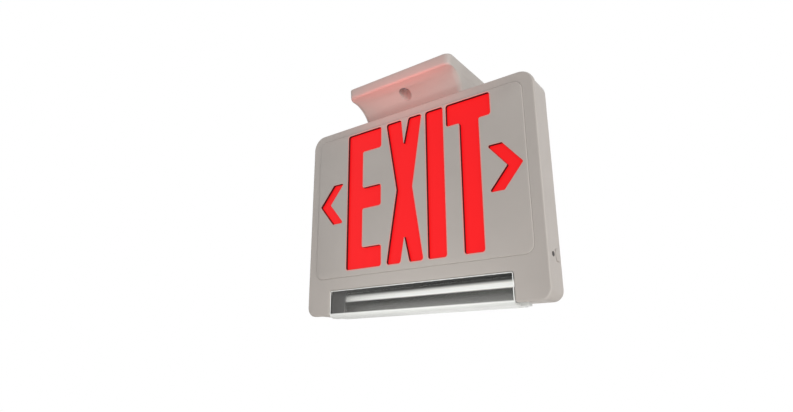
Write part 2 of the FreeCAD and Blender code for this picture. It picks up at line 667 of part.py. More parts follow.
def make_rear_housing():
    body = new_body("rear_housing")
    sketch = face_sketch(body, "housing_outline", "rim_back")
    rounded(sketch, "-house_half", "house_half", "house_foot", "house_top",
            "(foot_radius - house_inset)", "(top_radius - house_inset)")
    pad(body, "housing_block", sketch, "back - rim_back", reverse=True)
    back = number("back")
    fillet(body, "back_edge", "back_round", lambda edge: lies_at(edge, "Y", back))
    sketch = face_sketch(body, "bay_outline", "rim_back")
    step = "(house_inset + house_wall)"
    rounded(sketch, "-bay_half", "bay_half", "bay_foot", "bay_top",
            f"(foot_radius - {step})", f"(top_radius - {step})")
    pocket(body, "bay", sketch, "bay_back - rim_back")
    # posts for the light box, pillars for the charging board and the battery strap
    sketch = face_sketch(body, "post_crosses", "bay_back + house_wall / 2")
    for x, z in POSTS:
        cross(sketch, x, z, "post_size / 2", "post_rib / 2", "post_size / 2", "post_rib / 2")
    pad(body, "posts", sketch, "bay_back + house_wall / 2 - box_back")
    sketch = face_sketch(body, "pillar_rings", "bay_back + house_wall / 2")
    for x, z in BOARD_SCREWS + STRAP_SCREWS:
        flatted_ring(sketch, x, z, "pillar_size")
    pad(body, "pillars", sketch, "pillar_tall + house_wall / 2")
    sketch = face_sketch(body, "pillar_holes", "pillar_front")
    for x, z in BOARD_SCREWS + STRAP_SCREWS:
        flatted_ring(sketch, x, z, "pin_bore", hole=True)
    pocket(body, "pillar_bores", sketch, "pillar_tall + house_wall / 2")
    # slotted guides that the side board slides into
    sketch = face_sketch(body, "guide_outline", "bay_back + house_wall / 2")
    for low in ("side_low", "side_top - guide_thick"):
        high = f"{low} + guide_thick"
        rectangle(sketch, "side_inner - guide_thick", "side_inner - fit_gap / 2", low, high)
        rectangle(sketch, "side_outer + fit_gap / 2", "side_outer + guide_thick", low, high)
    pad(body, "guides", sketch, "guide_long + house_wall / 2")
    # the light bar's mouth in the bottom wall
    sketch = new_sketch(body, "mouth_outline", "XY", "bay_foot + lens_wall")
    rectangle(sketch, "-mouth_half", "mouth_half", "rim_back - rim_deep", "mouth_back")
    pocket(body, "mouth", sketch, "house_wall + lens_wall * 2")
    # the stem's hole through the top wall
    sketch = new_sketch(body, "stem_hole_outline", "XY", "house_top")
    ring(sketch, "0", "0", "stem_size + fit_gap")
    pocket(body, "stem_hole", sketch, "house_wall")
    # the button's and the pilot lamp's holes in the right-hand wall
    sketch = new_sketch(body, "button_hole_outline", "YZ", "house_half")
    rounded(sketch, "button_y - button_wide / 2 - button_gap", "button_y + button_wide / 2 + button_gap",
            "button_z - button_tall / 2 - button_gap", "button_z + button_tall / 2 + button_gap",
            "(button_round + button_gap)")
    ring(sketch, "pilot_y", "button_z", "pilot_size + pilot_gap * 2")
    pocket(body, "button_hole", sketch, "house_wall")
    # a scored knockout in the middle of the back
    sketch = face_sketch(body, "knockout_outline", "back")
    middle = "(top + foot) / 2"
    ring(sketch, "0", middle, "knockout_bore")
    ring(sketch, "0", middle, "knockout_bore - score_wide * 2")
    pocket(body, "knockout_score", sketch, "score_deep", reverse=True)
    return body


# ---- the light bar ---------------------------------------------------------------------------------------

def make_lens():
    """One clear moulding: a front wall in the window, a rounded lower corner, a floor below the foot and a
    low upstand at the back, with a flange behind the cover and a latch tab past each end."""
    body = new_body("lightbar_lens")
    sketch = new_sketch(body, "lens_profile", "YZ")
    draw(sketch, [
        ("lens_face", "lens_foot + lens_corner"), ("lens_face + lens_corner", "lens_foot", "lens_corner"),
        ("lens_rear", "lens_foot"), ("lens_rear", "lens_foot + lens_lip"),
        ("lens_rear - lens_wall", "lens_foot + lens_lip"), ("lens_rear - lens_wall", "lens_foot + lens_wall"),
        ("lens_face + lens_corner", "lens_foot + lens_wall"),
        ("lens_face + lens_wall", "lens_foot + lens_corner", "-(lens_corner - lens_wall)"),
        ("lens_face + lens_wall", "window_top - fit_gap"), ("lens_face", "window_top - fit_gap")])
    pad(body, "lens_wall_run", sketch, "lens_half * 2", both=True)
    lens_top, lens_half = number("window_top - fit_gap"), number("lens_half")
    fillet(body, "lens_corners", "window_corner", lambda edge: lies_at(edge, "Z", lens_top) and (
        lies_at(edge, "X", lens_half) or lies_at(edge, "X", -lens_half)))
    sketch = face_sketch(body, "lens_flange_outline", "lens_flange_back")
    rectangle(sketch, "-window_half - lens_grip", "window_half + lens_grip", "window_top - lens_grip",
              "lens_flange_top")
    pad(body, "lens_flange_run", sketch, "lens_flange")
    sketch = new_sketch(body, "tab_outline", "XY", "lens_foot")
    for end in ("-lens_half", "lens_half"):
        rectangle(sketch, f"{end} - tab_long", f"{end} + tab_long", "-tab_wide / 2", "tab_wide / 2")
    pad(body, "tabs", sketch, "lens_proud + house_inset - fit_gap / 2")
    return body


BAR_HALF = "(trough_half - strip_margin)"


def make_reflector():
    """A polished trough that opens down and forwards: a roof, a round back and a skirt. The LEDs shine
    through a slot in its roof, and their strip lies on a rail at each side of the slot."""
    body = new_body("lightbar_reflector")
    sketch = new_sketch(body, "trough_profile", "YZ")
    draw(sketch, [
        ("trough_inner", "trough_foot"), ("trough_back", "trough_foot"), ("trough_back", "arc_z"),
        ("arc_y", "trough_top + trough_wall", "trough_outer"), ("trough_front", "trough_top + trough_wall"),
        ("trough_front", "trough_top"), ("arc_y", "trough_top"), ("trough_inner", "arc_z", "-trough_radius")])
    pad(body, "trough", sketch, "trough_half * 2", both=True)
    sketch = new_sketch(body, "rail_profile", "YZ")
    middle = "(trough_radius + trough_wall / 2)"
    far = "slot_y + slot_wide / 2 + rail_wide"
    rectangle(sketch, "slot_y - slot_wide / 2 - rail_wide", "slot_y - slot_wide / 2",
              "trough_top + trough_wall / 2", "strip_foot")
    rectangle(sketch, "slot_y + slot_wide / 2", far,
              f"arc_z + sqrt(pow({middle}; 2) - pow({far} - arc_y; 2))", "strip_foot")
    pad(body, "rails", sketch, f"{BAR_HALF} * 2", both=True)
    sketch = new_sketch(body, "slot_outline", "XY", "strip_foot + fit_gap")
    rectangle(sketch, f"-{BAR_HALF}", BAR_HALF, "slot_y - slot_wide / 2", "slot_y + slot_wide / 2")
    pocket(body, "slot", sketch, "trough_wall * 4")
    return body


def make_reflector_end(label, inner, outer):
    """An end plate that closes the trough; it stands on the housing's foot and against its back wall."""
    deep = ("lens_flange_back", "bay_back")
    plate = block(f"{label}_plate", (inner, outer), deep, ("bay_foot", "cap_top"))
    notch = block(f"{label}_notch", (f"{inner} - fit_gap", f"{outer} + fit_gap"),
                  ("lens_rear + fit_gap", "bay_back + fit_gap"),
                  ("bay_foot + heel_tall", "cap_top + fit_gap"))
    return carved(label, plate, notch)


def make_light_bar():
    board = block("lightbar_led_board", (f"-{BAR_HALF}", BAR_HALF),
                  ("slot_y - strip_wide / 2", "slot_y + strip_wide / 2"),
                  ("strip_foot", "strip_foot + strip_thick"))
    lamps = led_row("lightbar_lamps", BAR_HALF, "bar_pitch", "slot_y", "strip_foot - led_tall",
                    "strip_foot")
    ends = [make_reflector_end("reflector_end_left", "-trough_half - cap_thick", "-trough_half"),
            make_reflector_end("reflector_end_right", "trough_half", "trough_half + cap_thick")]
    return [make_lens(), make_reflector(), board, lamps] + ends


# ---- the canopy, the ceiling plate and the stem ----------------------------------------------------------

def canopy_profile(sketch, edge, floor, neck, corner, radius):
    """Hollow coves on both sides of a neck, under an upright brim rounded at its foot if corner is given."""
    right = [(neck, floor)]
    if corner:
        right += [("cove_y", "cove_top", f"-{radius}"), (edge, "cove_top + brim_round", corner)]
    else:
        right += [("cove_y", "cove_z + hollow_radius", f"-{radius}")]
    right += [(edge, "0")]
    left = [(f"-({edge})", "0")]
    if corner:
        left += [(f"-({edge})", "cove_top + brim_round"), ("-cove_y", "cove_top", corner),
                 (f"-({neck})", floor, f"-{radius}")]
    else:
        left += [("-cove_y", "cove_z + hollow_radius"), (f"-({neck})", floor, f"-{radius}")]
    draw(sketch, right + left)


def make_canopy():
    outer = new_body("canopy_outer")
    sketch = new_sketch(outer, "canopy_outline", "YZ")
    canopy_profile(sketch, "brim_half", "house_top", "neck_half", "brim_round", "cove_radius")
    pad(outer, "canopy_block", sketch, "canopy_long", both=True)
    sketch = new_sketch(outer, "end_slope_outline", "XZ")
    for sign in ("", "-"):
        corners = [(f"{sign}(canopy_long / 2)", "0"), (f"{sign}(canopy_long / 2 - end_taper)", "house_top"),
                   (f"{sign}(canopy_long / 2)", "house_top")]
        draw(sketch, corners if sign else corners[::-1])
    pocket(outer, "end_slopes", sketch, both=True)
    sketch = new_sketch(outer, "corner_outline", "XY")
    for x, y in (("", ""), ("-", ""), ("", "-"), ("-", "-")):
        far_x, far_y = f"{x}(canopy_long / 2 + brim_corner)", f"{y}(brim_half + brim_corner)"
        near_x, near_y = f"{x}(canopy_long / 2 - brim_corner)", f"{y}(brim_half - brim_corner)"
        draw(sketch, [
            (f"{x}(canopy_long / 2)", near_y),
            (near_x, f"{y}brim_half", "brim_corner" if x == y else "-brim_corner"),
            (near_x, far_y), (far_x, far_y), (far_x, near_y)])
    pocket(outer, "brim_corners", sketch)
    hollow = new_body("canopy_hollow")
    sketch = new_sketch(hollow, "hollow_outline", "YZ")
    canopy_profile(sketch, "cove_y", "floor_top", "hollow_half", None, "hollow_radius")
    pad(hollow, "hollow_block", sketch, "hollow_end * 2", both=True)
    wells, bores = [], []
    for side, sign in (("front", "-"), ("back", "")):
        at = ("0", f"{sign}well_reach")
        wells.append(rod(f"{side}_well", "well_bore + well_wall * 2", "Z", "-house_top - plate_thick",
                         (*at, "house_top")))
        bores.append(rod(f"{side}_well_bore", "well_bore", "Z", "-house_top - well_seat", (*at, "house_top")))
        bore = stud(f"{side}_screw_bore", "screw_bore", "Z", "-house_top", (*at, "house_top"), hole=True)
        bores.append(bore)
    hollow_round_wells = carved("canopy_space", hollow, *wells)
    bores.append(rod("canopy_stem_bore", "stem_size + fit_gap", "Z", "canopy_floor * 2",
                     ("0", "0", "house_top - canopy_floor / 2")))
    bores.append(block("plate_seat", ("-bar_half", "bar_half"), ("-arm_half", "arm_half"),
                       ("-plate_thick", "plate_thick")))
    return carved("canopy", outer, hollow_round_wells, *bores)


def make_canopy_screws():
    screws = []
    for side, sign in (("front", "-"), ("back", "")):
        y = f"{sign}well_reach"
        head = stud(f"{side}_head", "screw_head", "Z", "head_tall", ("0", y, "-well_seat - head_tall"))
        shank = stud(f"{side}_shank", "screw_shank", "Z", "well_seat - fit_gap", ("0", y, "-well_seat"))
        screws.append(fused(f"{side}_canopy_screw", head, shank))
    return grouped("canopy_screws", screws)


def make_ceiling_plate():
    """A stamped cross: slots for the junction box's screws, tapped holes for the canopy's, a wire hole."""
    body = new_body("ceiling_plate")
    sketch = new_sketch(body, "plate_outline", "XY", "-plate_thick")
    cross(sketch, "0", "0", "bar_half", "bar_wide / 2", "arm_half", "arm_wide / 2")
    pad(body, "plate", sketch, "plate_thick")
    sketch = new_sketch(body, "plate_holes", "XY", "0")
    ring(sketch, "0", "0", "plate_hole")
    for sign in ("-", ""):
        flatted_ring(sketch, "0", f"{sign}well_reach", "screw_shank + plunger_clear * 2", hole=True)
        slot(sketch, f"{sign}box_spacing / 2", "box_slot_wide", "box_slot_long")
    pocket(body, "plate_openings", sketch)
    return body


def make_stem():
    length = "stem_above + canopy_floor + house_wall + stem_below"
    start = ("0", "0", "bay_top - stem_below")
    tube = rod("nipple_tube", "stem_size", "Z", length, start)
    bore = rod("nipple_bore", "stem_bore", "Z", length, start)
    nuts = []
    for name, level in (("upper", "floor_top"), ("lower", "bay_top - nut_tall")):
        prism = doc.addObject("Part::Prism", f"{name}_nut_prism")
        prism.Polygon = 6
        bind(prism, Circumradius="nut_flats / sqrt(3)", Height="nut_tall")
        place(prism, "0", "0", level)
        hole = rod(f"{name}_nut_bore", "stem_size + plunger_clear * 2", "Z", "nut_tall", ("0", "0", level))
        nuts.append(carved(f"{name}_nut", prism, hole))
    return [carved("canopy_nipple", tube, bore), grouped("nipple_locknuts", nuts)]


# ---- the electronics bay ---------------------------------------------------------------------------------

def make_battery():
    """Cells side by side in one shrunk sleeve, one sealed pack."""
    cells = [stud(f"cell_{i}", "cell_size", "Z", "cell_long",
                  (f"cell_left + cell_size * ({i} + 0.5)", "pack_middle_y", "pack_foot"))
             for i in range(int(number("cell_count")))]
    web = block("cell_sleeve", ("cell_left + cell_size / 2", "pack_right - cell_size / 2"),
                ("pack_middle_y - sleeve_deep / 2", "pack_middle_y + sleeve_deep / 2"),
                ("pack_foot", "pack_top"))
    pack = fused("battery_pack", web, *cells)
    # the strap goes over the pack and is screwed to a pillar on each side
    z = ("strap_low", "strap_top")
    left, right = "cell_left - fit_gap / 2", "pack_right + fit_gap / 2"
    outer_left, outer_right = f"{left} - strap_thick", f"{right} + strap_thick"
    foot = "pillar_front - strap_thick"
    strip = [block("strap_over", (outer_left, outer_right), ("strap_front", "strap_inner"), z),
             block("strap_left", (outer_left, left), ("strap_front", "pillar_front"), z),
             block("strap_right", (right, outer_right), ("strap_front", "pillar_front"), z),
             block("strap_foot_left", (f"{outer_left} - strap_foot", left), (foot, "pillar_front"), z),
             block("strap_foot_right", (right, f"{outer_right} + strap_foot"), (foot, "pillar_front"), z)]
    holes = [stud(f"strap_hole_{i}", "pin_clear", "Y", "strap_thick", (x, foot, level), hole=True)
             for i, (x, level) in enumerate(STRAP_SCREWS)]
    strap = carved("battery_strap", fused("strap_strip", *strip), *holes)
    return [pack, strap]


def make_small_screws():
    screws = []
    seats = [(x, "board_front", z) for x, z in BOARD_SCREWS]
    seats += [(x, "pillar_front - strap_thick", z) for x, z in STRAP_SCREWS]
    for index, (x, y, z) in enumerate(seats):
        head = stud(f"pin_head_{index}", "pin_head", "Y", "pin_head_tall", (x, f"{y} - pin_head_tall", z))
        shank = stud(f"pin_shank_{index}", "pin_shank", "Y", f"pillar_front + pillar_tall - ({y})", (x, y, z))
        screws.append(fused(f"pin_{index}", head, shank))
    return grouped("housing_screws", screws)


def make_charging_board():
    blank = block("board_blank", ("board_left", "board_right"), ("board_front", "pillar_front"),
                  ("board_foot", "-board_drop"))
    holes = [stud(f"board_hole_{i}", "pin_clear", "Y", "board_thick", (x, "board_front", z), hole=True)
             for i, (x, z) in enumerate(BOARD_SCREWS)]
    board = carved("circuit_board", blank, *holes)
    # the transformer: a coil stands on the board, round the middle limb of an E and I core
    left, low = "board_left + core_left", "-board_drop - core_drop - core_tall"
    right, high = f"{left} + core_wide", f"{low} + core_tall"
    middle = f"{left} + core_wide / 2"
    core_y = ("board_front - coil_deep + coil_reach", "board_front - coil_reach")
    core = block("core_block", (left, right), core_y, (low, high))
    windows = [block(f"core_window_{name}", (near, far), (f"{core_y[0]} - fit_gap", f"{core_y[1]} + fit_gap"),
                     (f"{low} + core_limb", f"{high} - core_limb"))
               for name, near, far in (("left", f"{left} + core_limb", f"{middle} - core_centre / 2"),
                                       ("right", f"{middle} + core_centre / 2", f"{right} - core_limb"))]
    core = carved("transformer_core", core, *windows)
    coil = block("coil_block", (f"{left} + core_limb + fit_gap / 2", f"{right} - core_limb - fit_gap / 2"),
                 ("board_front - coil_deep", "board_front"),
                 (f"{low} + core_limb + fit_gap / 2", f"{high} - core_limb - fit_gap / 2"))
    slack = "fit_gap / 4"
    limb = block("coil_tunnel",
                 (f"{middle} - core_centre / 2 - {slack}", f"{middle} + core_centre / 2 + {slack}"),
                 (f"{core_y[0]} - {slack}", f"{core_y[1]} + {slack}"), (low, high))
    winding = carved("transformer_winding", coil, limb)
    # capacitors in a row beside it, and the terminal block along the foot of the board
    cans = [stud(f"can_{i}", "can_size", "Y", "can_tall",
                 (f"{right} + can_pitch * ({i} + 1)", "board_front - can_tall", f"{low} + core_tall / 2"))
            for i in range(int(number("can_count")))]
    capacitors = grouped("capacitors", cans)
    foot = "board_foot + block_rise"
    case = block("terminal_case", (left, f"{left} + block_wide"), ("board_front - block_deep", "board_front"),
                 (foot, f"{foot} + block_tall"))
    ways = []
    for i in range(int(number("block_ways"))):
        x, y = f"{left} + block_wide / block_ways * ({i} + 0.5)", "board_front - block_deep / 2"
        ways.append(block(f"terminal_way_{i}", (f"{x} - way_size / 2", f"{x} + way_size / 2"),
                          (f"{y} - way_size / 2", f"{y} + way_size / 2"), (foot, f"{foot} + way_deep")))
    terminals = carved("terminal_block", case, *ways)
    return [board, core, winding, capacitors, terminals]


def make_test_group():
    """The side board with its switch and pilot lamp, and the button that slides in the housing's wall."""
    board = block("indicator_board", ("side_inner", "side_outer"), ("side_front", "bay_back"),
                  ("side_low", "side_top"))
    case = block("switch_case", ("side_outer", "switch_face"),
                 ("button_y - switch_side / 2", "button_y + switch_side / 2"),
                 ("button_z - switch_side / 2", "button_z + switch_side / 2"))
    bore = rod("switch_bore", "plunger_size + plunger_clear * 2", "X", "switch_deep",
               ("side_outer + switch_floor", "button_y", "button_z"))
    switch = carved("test_switch", case, bore)
    lamp = rod("pilot_bulb", "pilot_size", "X", "house_half + pilot_proud - side_outer",
               ("side_outer", "pilot_y", "button_z"))
    collar = rod("pilot_collar", "pilot_size + button_flange", "X", "flange_thick",
                 ("side_outer", "pilot_y", "button_z"))
    pilot = fused("pilot_lamp", lamp, collar)
    body = new_body("test_button")
    sketch = new_sketch(body, "cap_outline", "YZ", "flange_inner")
    rounded(sketch, "button_y - button_wide / 2", "button_y + button_wide / 2",
            "button_z - button_tall / 2", "button_z + button_tall / 2", "button_round")
    pad(body, "cap", sketch, "button_face - flange_inner")
    face = number("button_face")
    chamfer(body, "cap_edge", "button_proud / 2", lambda edge: lies_at(edge, "X", face))
    sketch = new_sketch(body, "button_flange_outline", "YZ", "flange_inner")
    wide, tall = "(button_wide / 2 + button_flange)", "(button_tall / 2 + button_flange)"
    rectangle(sketch, f"button_y - {wide}", f"button_y + {wide}", f"button_z - {tall}", f"button_z + {tall}")
    pad(body, "button_flange_pad", sketch, "flange_thick")
    sketch = new_sketch(body, "plunger_outline", "YZ", "flange_inner")
    ring(sketch, "button_y", "button_z", "plunger_size")
    pad(body, "plunger", sketch, "flange_inner - plunger_end", reverse=True)
    return [board, switch, pilot, body]


# ---- build, check and write ------------------------------------------------------------------------------

parts = [make_front_cover(), make_stencil_plate(), make_red_diffuser(), make_light_box()]
parts += make_legend_lights()
parts += [make_rear_housing()]
parts += make_light_bar()
parts += [make_canopy(), make_canopy_screws(), make_ceiling_plate()]
parts += make_stem()
parts += make_battery()
parts += [make_small_screws()]
parts += make_charging_board()
parts += make_test_group()
doc.recompute()

faults = [thing.Label for thing in doc.Objects if {"Invalid", "Error"} & set(thing.State)]
for cut in doc.findObjects("PartDesign::Pocket"):
    if not faults and cut.Shape.Volume > cut.BaseFeature.Shape.Volume - 0.01:
        faults.append(cut.Label + " cuts nothing")
for part in parts:
    if part.Shape.isNull() or not part.Shape.isValid() or not part.Shape.Solids:
        faults.append(part.Label)
if faults:
    raise RuntimeError("failed: " + ", ".join(faults))

os.makedirs("parts", exist_ok=True)
for part in parts:
    part.Shape.exportStep(os.path.join("parts", part.Label + ".step"))
print(f"{len(parts)} parts written")
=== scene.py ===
import math

import bpy
import numpy as np
from mathutils import Matrix, Vector
from mathutils.geometry import delaunay_2d_cdt


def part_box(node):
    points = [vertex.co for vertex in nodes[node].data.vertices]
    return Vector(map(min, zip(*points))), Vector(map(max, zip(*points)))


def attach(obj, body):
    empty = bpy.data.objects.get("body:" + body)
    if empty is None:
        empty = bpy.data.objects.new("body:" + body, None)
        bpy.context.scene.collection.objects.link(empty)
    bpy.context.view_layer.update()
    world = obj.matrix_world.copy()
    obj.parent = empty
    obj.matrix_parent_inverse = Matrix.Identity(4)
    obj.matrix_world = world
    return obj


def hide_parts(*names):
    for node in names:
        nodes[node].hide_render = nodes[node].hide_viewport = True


# A ceiling-hung emergency exit light, in metres. The moulded shells, boards and fixings are the packed
# model's own solids with their finishes. The legend plate, the canopy, its screws and the border of the lens
# are made here in finer shape.

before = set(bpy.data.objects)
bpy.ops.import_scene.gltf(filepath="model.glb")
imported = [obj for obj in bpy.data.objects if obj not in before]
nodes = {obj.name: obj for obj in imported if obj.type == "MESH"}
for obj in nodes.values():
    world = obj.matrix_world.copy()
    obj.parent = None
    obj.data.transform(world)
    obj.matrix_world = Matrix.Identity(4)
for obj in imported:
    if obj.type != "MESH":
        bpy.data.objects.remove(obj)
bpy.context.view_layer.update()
MM = 0.001
SCREW_PLACES = (-22 * MM, 22 * MM)  # the canopy's screws, in front of its middle and behind it


# ---------------------------------------------------------------- camera, stage and lamps

def camera():
    """The camera below and to the right of the light, looking up at the legend."""
    place = Vector((0.28637, -0.43006, -0.28775))
    ahead = Vector((-0.56625, 0.77369, 0.28419)).normalized()
    tilt = math.radians(-0.27)
    level_right = ahead.cross(Vector((0, 0, 1))).normalized()
    level_up = level_right.cross(ahead)
    right = level_right * math.cos(tilt) + level_up * math.sin(tilt)
    up = level_up * math.cos(tilt) - level_right * math.sin(tilt)
    data = bpy.data.cameras.new("camera")
    data.sensor_width, data.lens = 36, 23.83
    data.clip_start, data.clip_end = 0.01, 60
    eye = bpy.data.objects.new("camera", data)
    turn = Matrix((right, up, -ahead)).transposed().to_4x4()
    eye.matrix_world = Matrix.Translation(place) @ turn
    bpy.context.collection.objects.link(eye)
    bpy.context.scene.camera = eye


def lamp(name, place, target, size, watts, colour=(1, 1, 1), size_y=None):
    """A soft rectangular lamp at place, facing target, that the camera doesn't see."""
    data = bpy.data.lights.new(name, "AREA")
    data.shape, data.size, data.size_y = "RECTANGLE", size, size_y or size
    data.energy, data.color = watts, colour
    body = bpy.data.objects.new(name, data)
    place, target = Vector(place), Vector(target)
    body.location = place
    body.rotation_mode = "QUATERNION"
    body.rotation_quaternion = (target - place).to_track_quat("-Z", "Y")
    body.visible_camera = False
    bpy.context.collection.objects.link(body)


# ---------------------------------------------------------------- shader maths and finishes

class Wire:
    """An output socket. Sums on it add Math nodes to the tree that it is in."""

    def __init__(self, owner, socket):
        self.owner, self.socket = owner, socket

    def sum(self, operation, first, second):
        return self.owner.node("ShaderNodeMath", {"operation": operation}, {0: first, 1: second})

    def __add__(self, other):
        return self.sum("ADD", self, other)

    def __sub__(self, other):
        return self.sum("SUBTRACT", self, other)

    def __rsub__(self, other):
        return self.sum("SUBTRACT", other, self)

    def __mul__(self, other):
        return self.sum("MULTIPLY", self, other)

    def __truediv__(self, other):
        return self.sum("DIVIDE", self, other)

    def __rtruediv__(self, other):
        return self.sum("DIVIDE", other, self)

    __radd__, __rmul__ = __add__, __mul__


def linear(red, green, blue):
    """A screen colour of 0 to 255 as the linear colour a shader takes."""
    screen = np.array((red, green, blue)) / 255
    made = np.where(screen <= 0.04045, screen / 12.92, ((screen + 0.055) / 1.055) ** 2.4)
    return tuple(float(part) for part in made) + (1.0,)


class Nodes:
    """The node tree of a material or of the world, emptied."""

    def __init__(self, owner):
        owner.use_nodes = True
        self.tree = owner.node_tree
        self.tree.nodes.clear()

    def node(self, kind, settings=None, sockets=None, out=0):
        """A node of that kind, its settings first and then the values or wires of its sockets."""
        made = self.tree.nodes.new(kind)
        for key, value in (settings or {}).items():
            if key == "stops":
                ramp = made.color_ramp.elements
                while len(ramp) < len(value):
                    ramp.new(0.5)
                for stop, (position, colour) in zip(ramp, value):
                    stop.position, stop.color = position, colour
            else:
                setattr(made, key, value)
        for key, value in (sockets or {}).items():
            if isinstance(value, Wire):
                self.tree.links.new(value.socket, made.inputs[key])
            else:
                made.inputs[key].default_value = value
        return made if out is None else Wire(self, made.outputs[out])


class Finish(Nodes):
    """One material: a Principled shader and the nodes that feed it. Its constants sit on the shader's own
    sockets."""

    def __init__(self, name, **constants):
        self.material = bpy.data.materials.new(name)
        super().__init__(self.material)
        sockets = {key.replace("_", " "): value for key, value in constants.items()}
        self.surface = self.node("ShaderNodeBsdfPrincipled", {}, sockets)
        self.shader = self.surface.socket.node
        self.end = self.node("ShaderNodeOutputMaterial", {}, {"Surface": self.surface}, out=None)

    def feed(self, socket, wire):
        """Links a wire to a socket of the shader."""
        self.tree.links.new(wire.socket, self.shader.inputs[socket])

    def mixed(self, factor, first, second):
        """Ends the material in two shaders mixed by a wire of 0 to 1."""
        both = self.node("ShaderNodeMixShader", {}, {0: factor, 1: first, 2: second})
        self.tree.links.new(both.socket, self.end.inputs["Surface"])

    def place(self, stretch=(1, 1, 1)):
        """Object coordinates, stretched along the axes."""
        here = self.node("ShaderNodeTexCoord", out="Object")
        if stretch == (1, 1, 1):
            return here
        return self.node("ShaderNodeMapping", {}, {"Vector": here, "Scale": stretch})

    def axes(self):
        """The three Object coordinates, in metres."""
        split = self.node("ShaderNodeSeparateXYZ", {}, {0: self.place()}, out=None)
        return tuple(Wire(self, socket) for socket in split.outputs)

    def noise(self, scale, detail, stretch=(1, 1, 1)):
        """Smooth noise of about 0 to 1, in grains of 1 / scale metres."""
        sockets = {"Vector": self.place(stretch), "Scale": scale, "Detail": detail, "Roughness": 0.55}
        return self.node("ShaderNodeTexNoise", {}, sockets)

    def between(self, wire, low, high):
        """A wire of 0 to 1 carried to the range low to high."""
        sockets = {"Value": wire, "To Min": low, "To Max": high}
        return self.node("ShaderNodeMapRange", {}, sockets)

    def step(self, wire, start, end):
        """0 before start and 1 after end, smooth between them."""
        sockets = {"Value": wire, "From Min": start, "From Max": end}
        return self.node("ShaderNodeMapRange", {"interpolation_type": "SMOOTHSTEP"}, sockets)

    def blend(self, factor, first, second):
        """Two colours mixed by a wire of 0 to 1."""
        return self.node("ShaderNodeMix", {"data_type": "RGBA"}, {0: factor, 6: first, 7: second}, out=2)

    def ramp(self, wire, *stops):
        """A wire of 0 to 1 as the colours of the stops, each a place and a colour."""
        return self.node("ShaderNodeValToRGB", {"stops": stops}, {0: wire})

    def grain(self, *layers):
        """Bumps the shader's normal by heights, each with its depth in metres."""
        normal = None
        for height, depth in layers:
            sockets = {"Height": height, "Distance": depth, "Strength": 1.0}
            if normal:
                sockets["Normal"] = normal
            normal = self.node("ShaderNodeBump", {}, sockets)
        self.feed("Normal", normal)


def moulded(name, pale, shade, rough=0.46, lit=False, gloss=0.42):
    """Injection-moulded plastic: a spark-eroded grain, a soft cloudiness and a little uneven gloss. Where
    lit, a painted red glow shows in the plastic beside each opening, and the cut edge is painted dark red as
    shade."""
    made = Finish(name, Specular_IOR_Level=gloss)
    cloud = made.noise(28, 3)
    speck = made.noise(900, 2)
    colour = made.blend(made.between(cloud, 0, 1), pale, shade)
    if lit:
        # Painted glow and painted shade: the mark paints a red glow beside each opening and dark red shade on
        # its cut walls.
        mark = made.node("ShaderNodeAttribute", {"attribute_name": "lit_edge"}, out="Fac")
        cut = made.step(mark, 0.8, 0.95)
        colour = made.blend(cut, made.blend(mark, colour, linear(226, 140, 130)), linear(44, 4, 5))
        # Painted glow: a faint red emission on the strip beside each opening.
        made.feed("Emission Color", made.blend(mark * (1 - cut), (0, 0, 0, 1), linear(225, 26, 26)))
        made.shader.inputs["Emission Strength"].default_value = 0.35
    made.feed("Base Color", colour)
    made.feed("Roughness", made.between(cloud * 0.6 + speck * 0.4, rough - 0.07, rough + 0.08))
    made.grain((made.noise(1500, 2), 0.00003), (made.noise(60, 2), 0.00006))
    return made.material


def plated(name, pale, shade, rough=0.3):
    """Zinc-plated steel: cloudy blue-grey metal with fine rolling lines."""
    made = Finish(name, Metallic=1.0)
    cloud = made.noise(90, 4)
    lines = made.noise(300, 2, stretch=(0.08, 4, 4))
    made.feed("Base Color", made.blend(cloud, pale, shade))
    made.feed("Roughness", made.between(lines, rough - 0.08, rough + 0.14))
    made.grain((lines, 0.000012))
    return made.material


def red_acrylic():
    """Red diffuser sheet, lit from behind by the row of lamps along its foot."""
    made = Finish("red_acrylic", Specular_IOR_Level=0.15, Roughness=0.5, Emission_Strength=0.9)
    across, _, up = made.axes()
    low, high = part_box("red_diffuser")
    rise = made.step(up, low.z, high.z)
    scallop = made.node("ShaderNodeMath", {"operation": "COSINE"}, {0: across * (2 * math.pi / 0.015)})
    near_foot = made.step(up, low.z + 0.03, low.z)
    warm = made.noise(14, 2) * 0.35 + scallop * near_foot * 0.12 + rise * 0.35
    made.feed("Emission Color", made.blend(warm, linear(246, 24, 28), linear(238, 12, 20)))
    made.feed("Base Color", made.blend(made.noise(40, 2), linear(120, 8, 10), linear(104, 5, 8)))
    made.grain((made.noise(700, 2), 0.00002))
    return made.material


def clear_lens():
    """Clear lens whose foot is fluted and glows with the lamps above it."""
    made = Finish("clear_lens", IOR=1.49, Specular_IOR_Level=0.5)
    _, back, up = made.axes()
    low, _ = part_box("lightbar_lens")
    foot = made.step(up, low.z + 0.0046, low.z + 0.0036)
    flutes = made.node("ShaderNodeMath", {"operation": "SINE"}, {0: back * (2 * math.pi / 0.0012)})
    made.feed("Base Color", made.blend(foot, (0.2, 0.2, 0.2, 1), linear(206, 207, 204)))
    made.feed("Roughness", made.between(foot, 0.06, 0.35))
    made.feed("Emission Color", made.blend(foot, (0, 0, 0, 1), (1, 1, 0.985, 1)))
    made.shader.inputs["Emission Strength"].default_value = 0.12
    clear = made.node("ShaderNodeBsdfTransparent", {}, {"Color": (0.975, 0.975, 0.97, 1)})
    edge = made.node("ShaderNodeFresnel", {}, {"IOR": 1.49})
    made.mixed(edge * 0.9 + 0.02 + foot * 0.9, clear, made.surface)
    made.grain((flutes * foot, 0.00012))
    return made.material


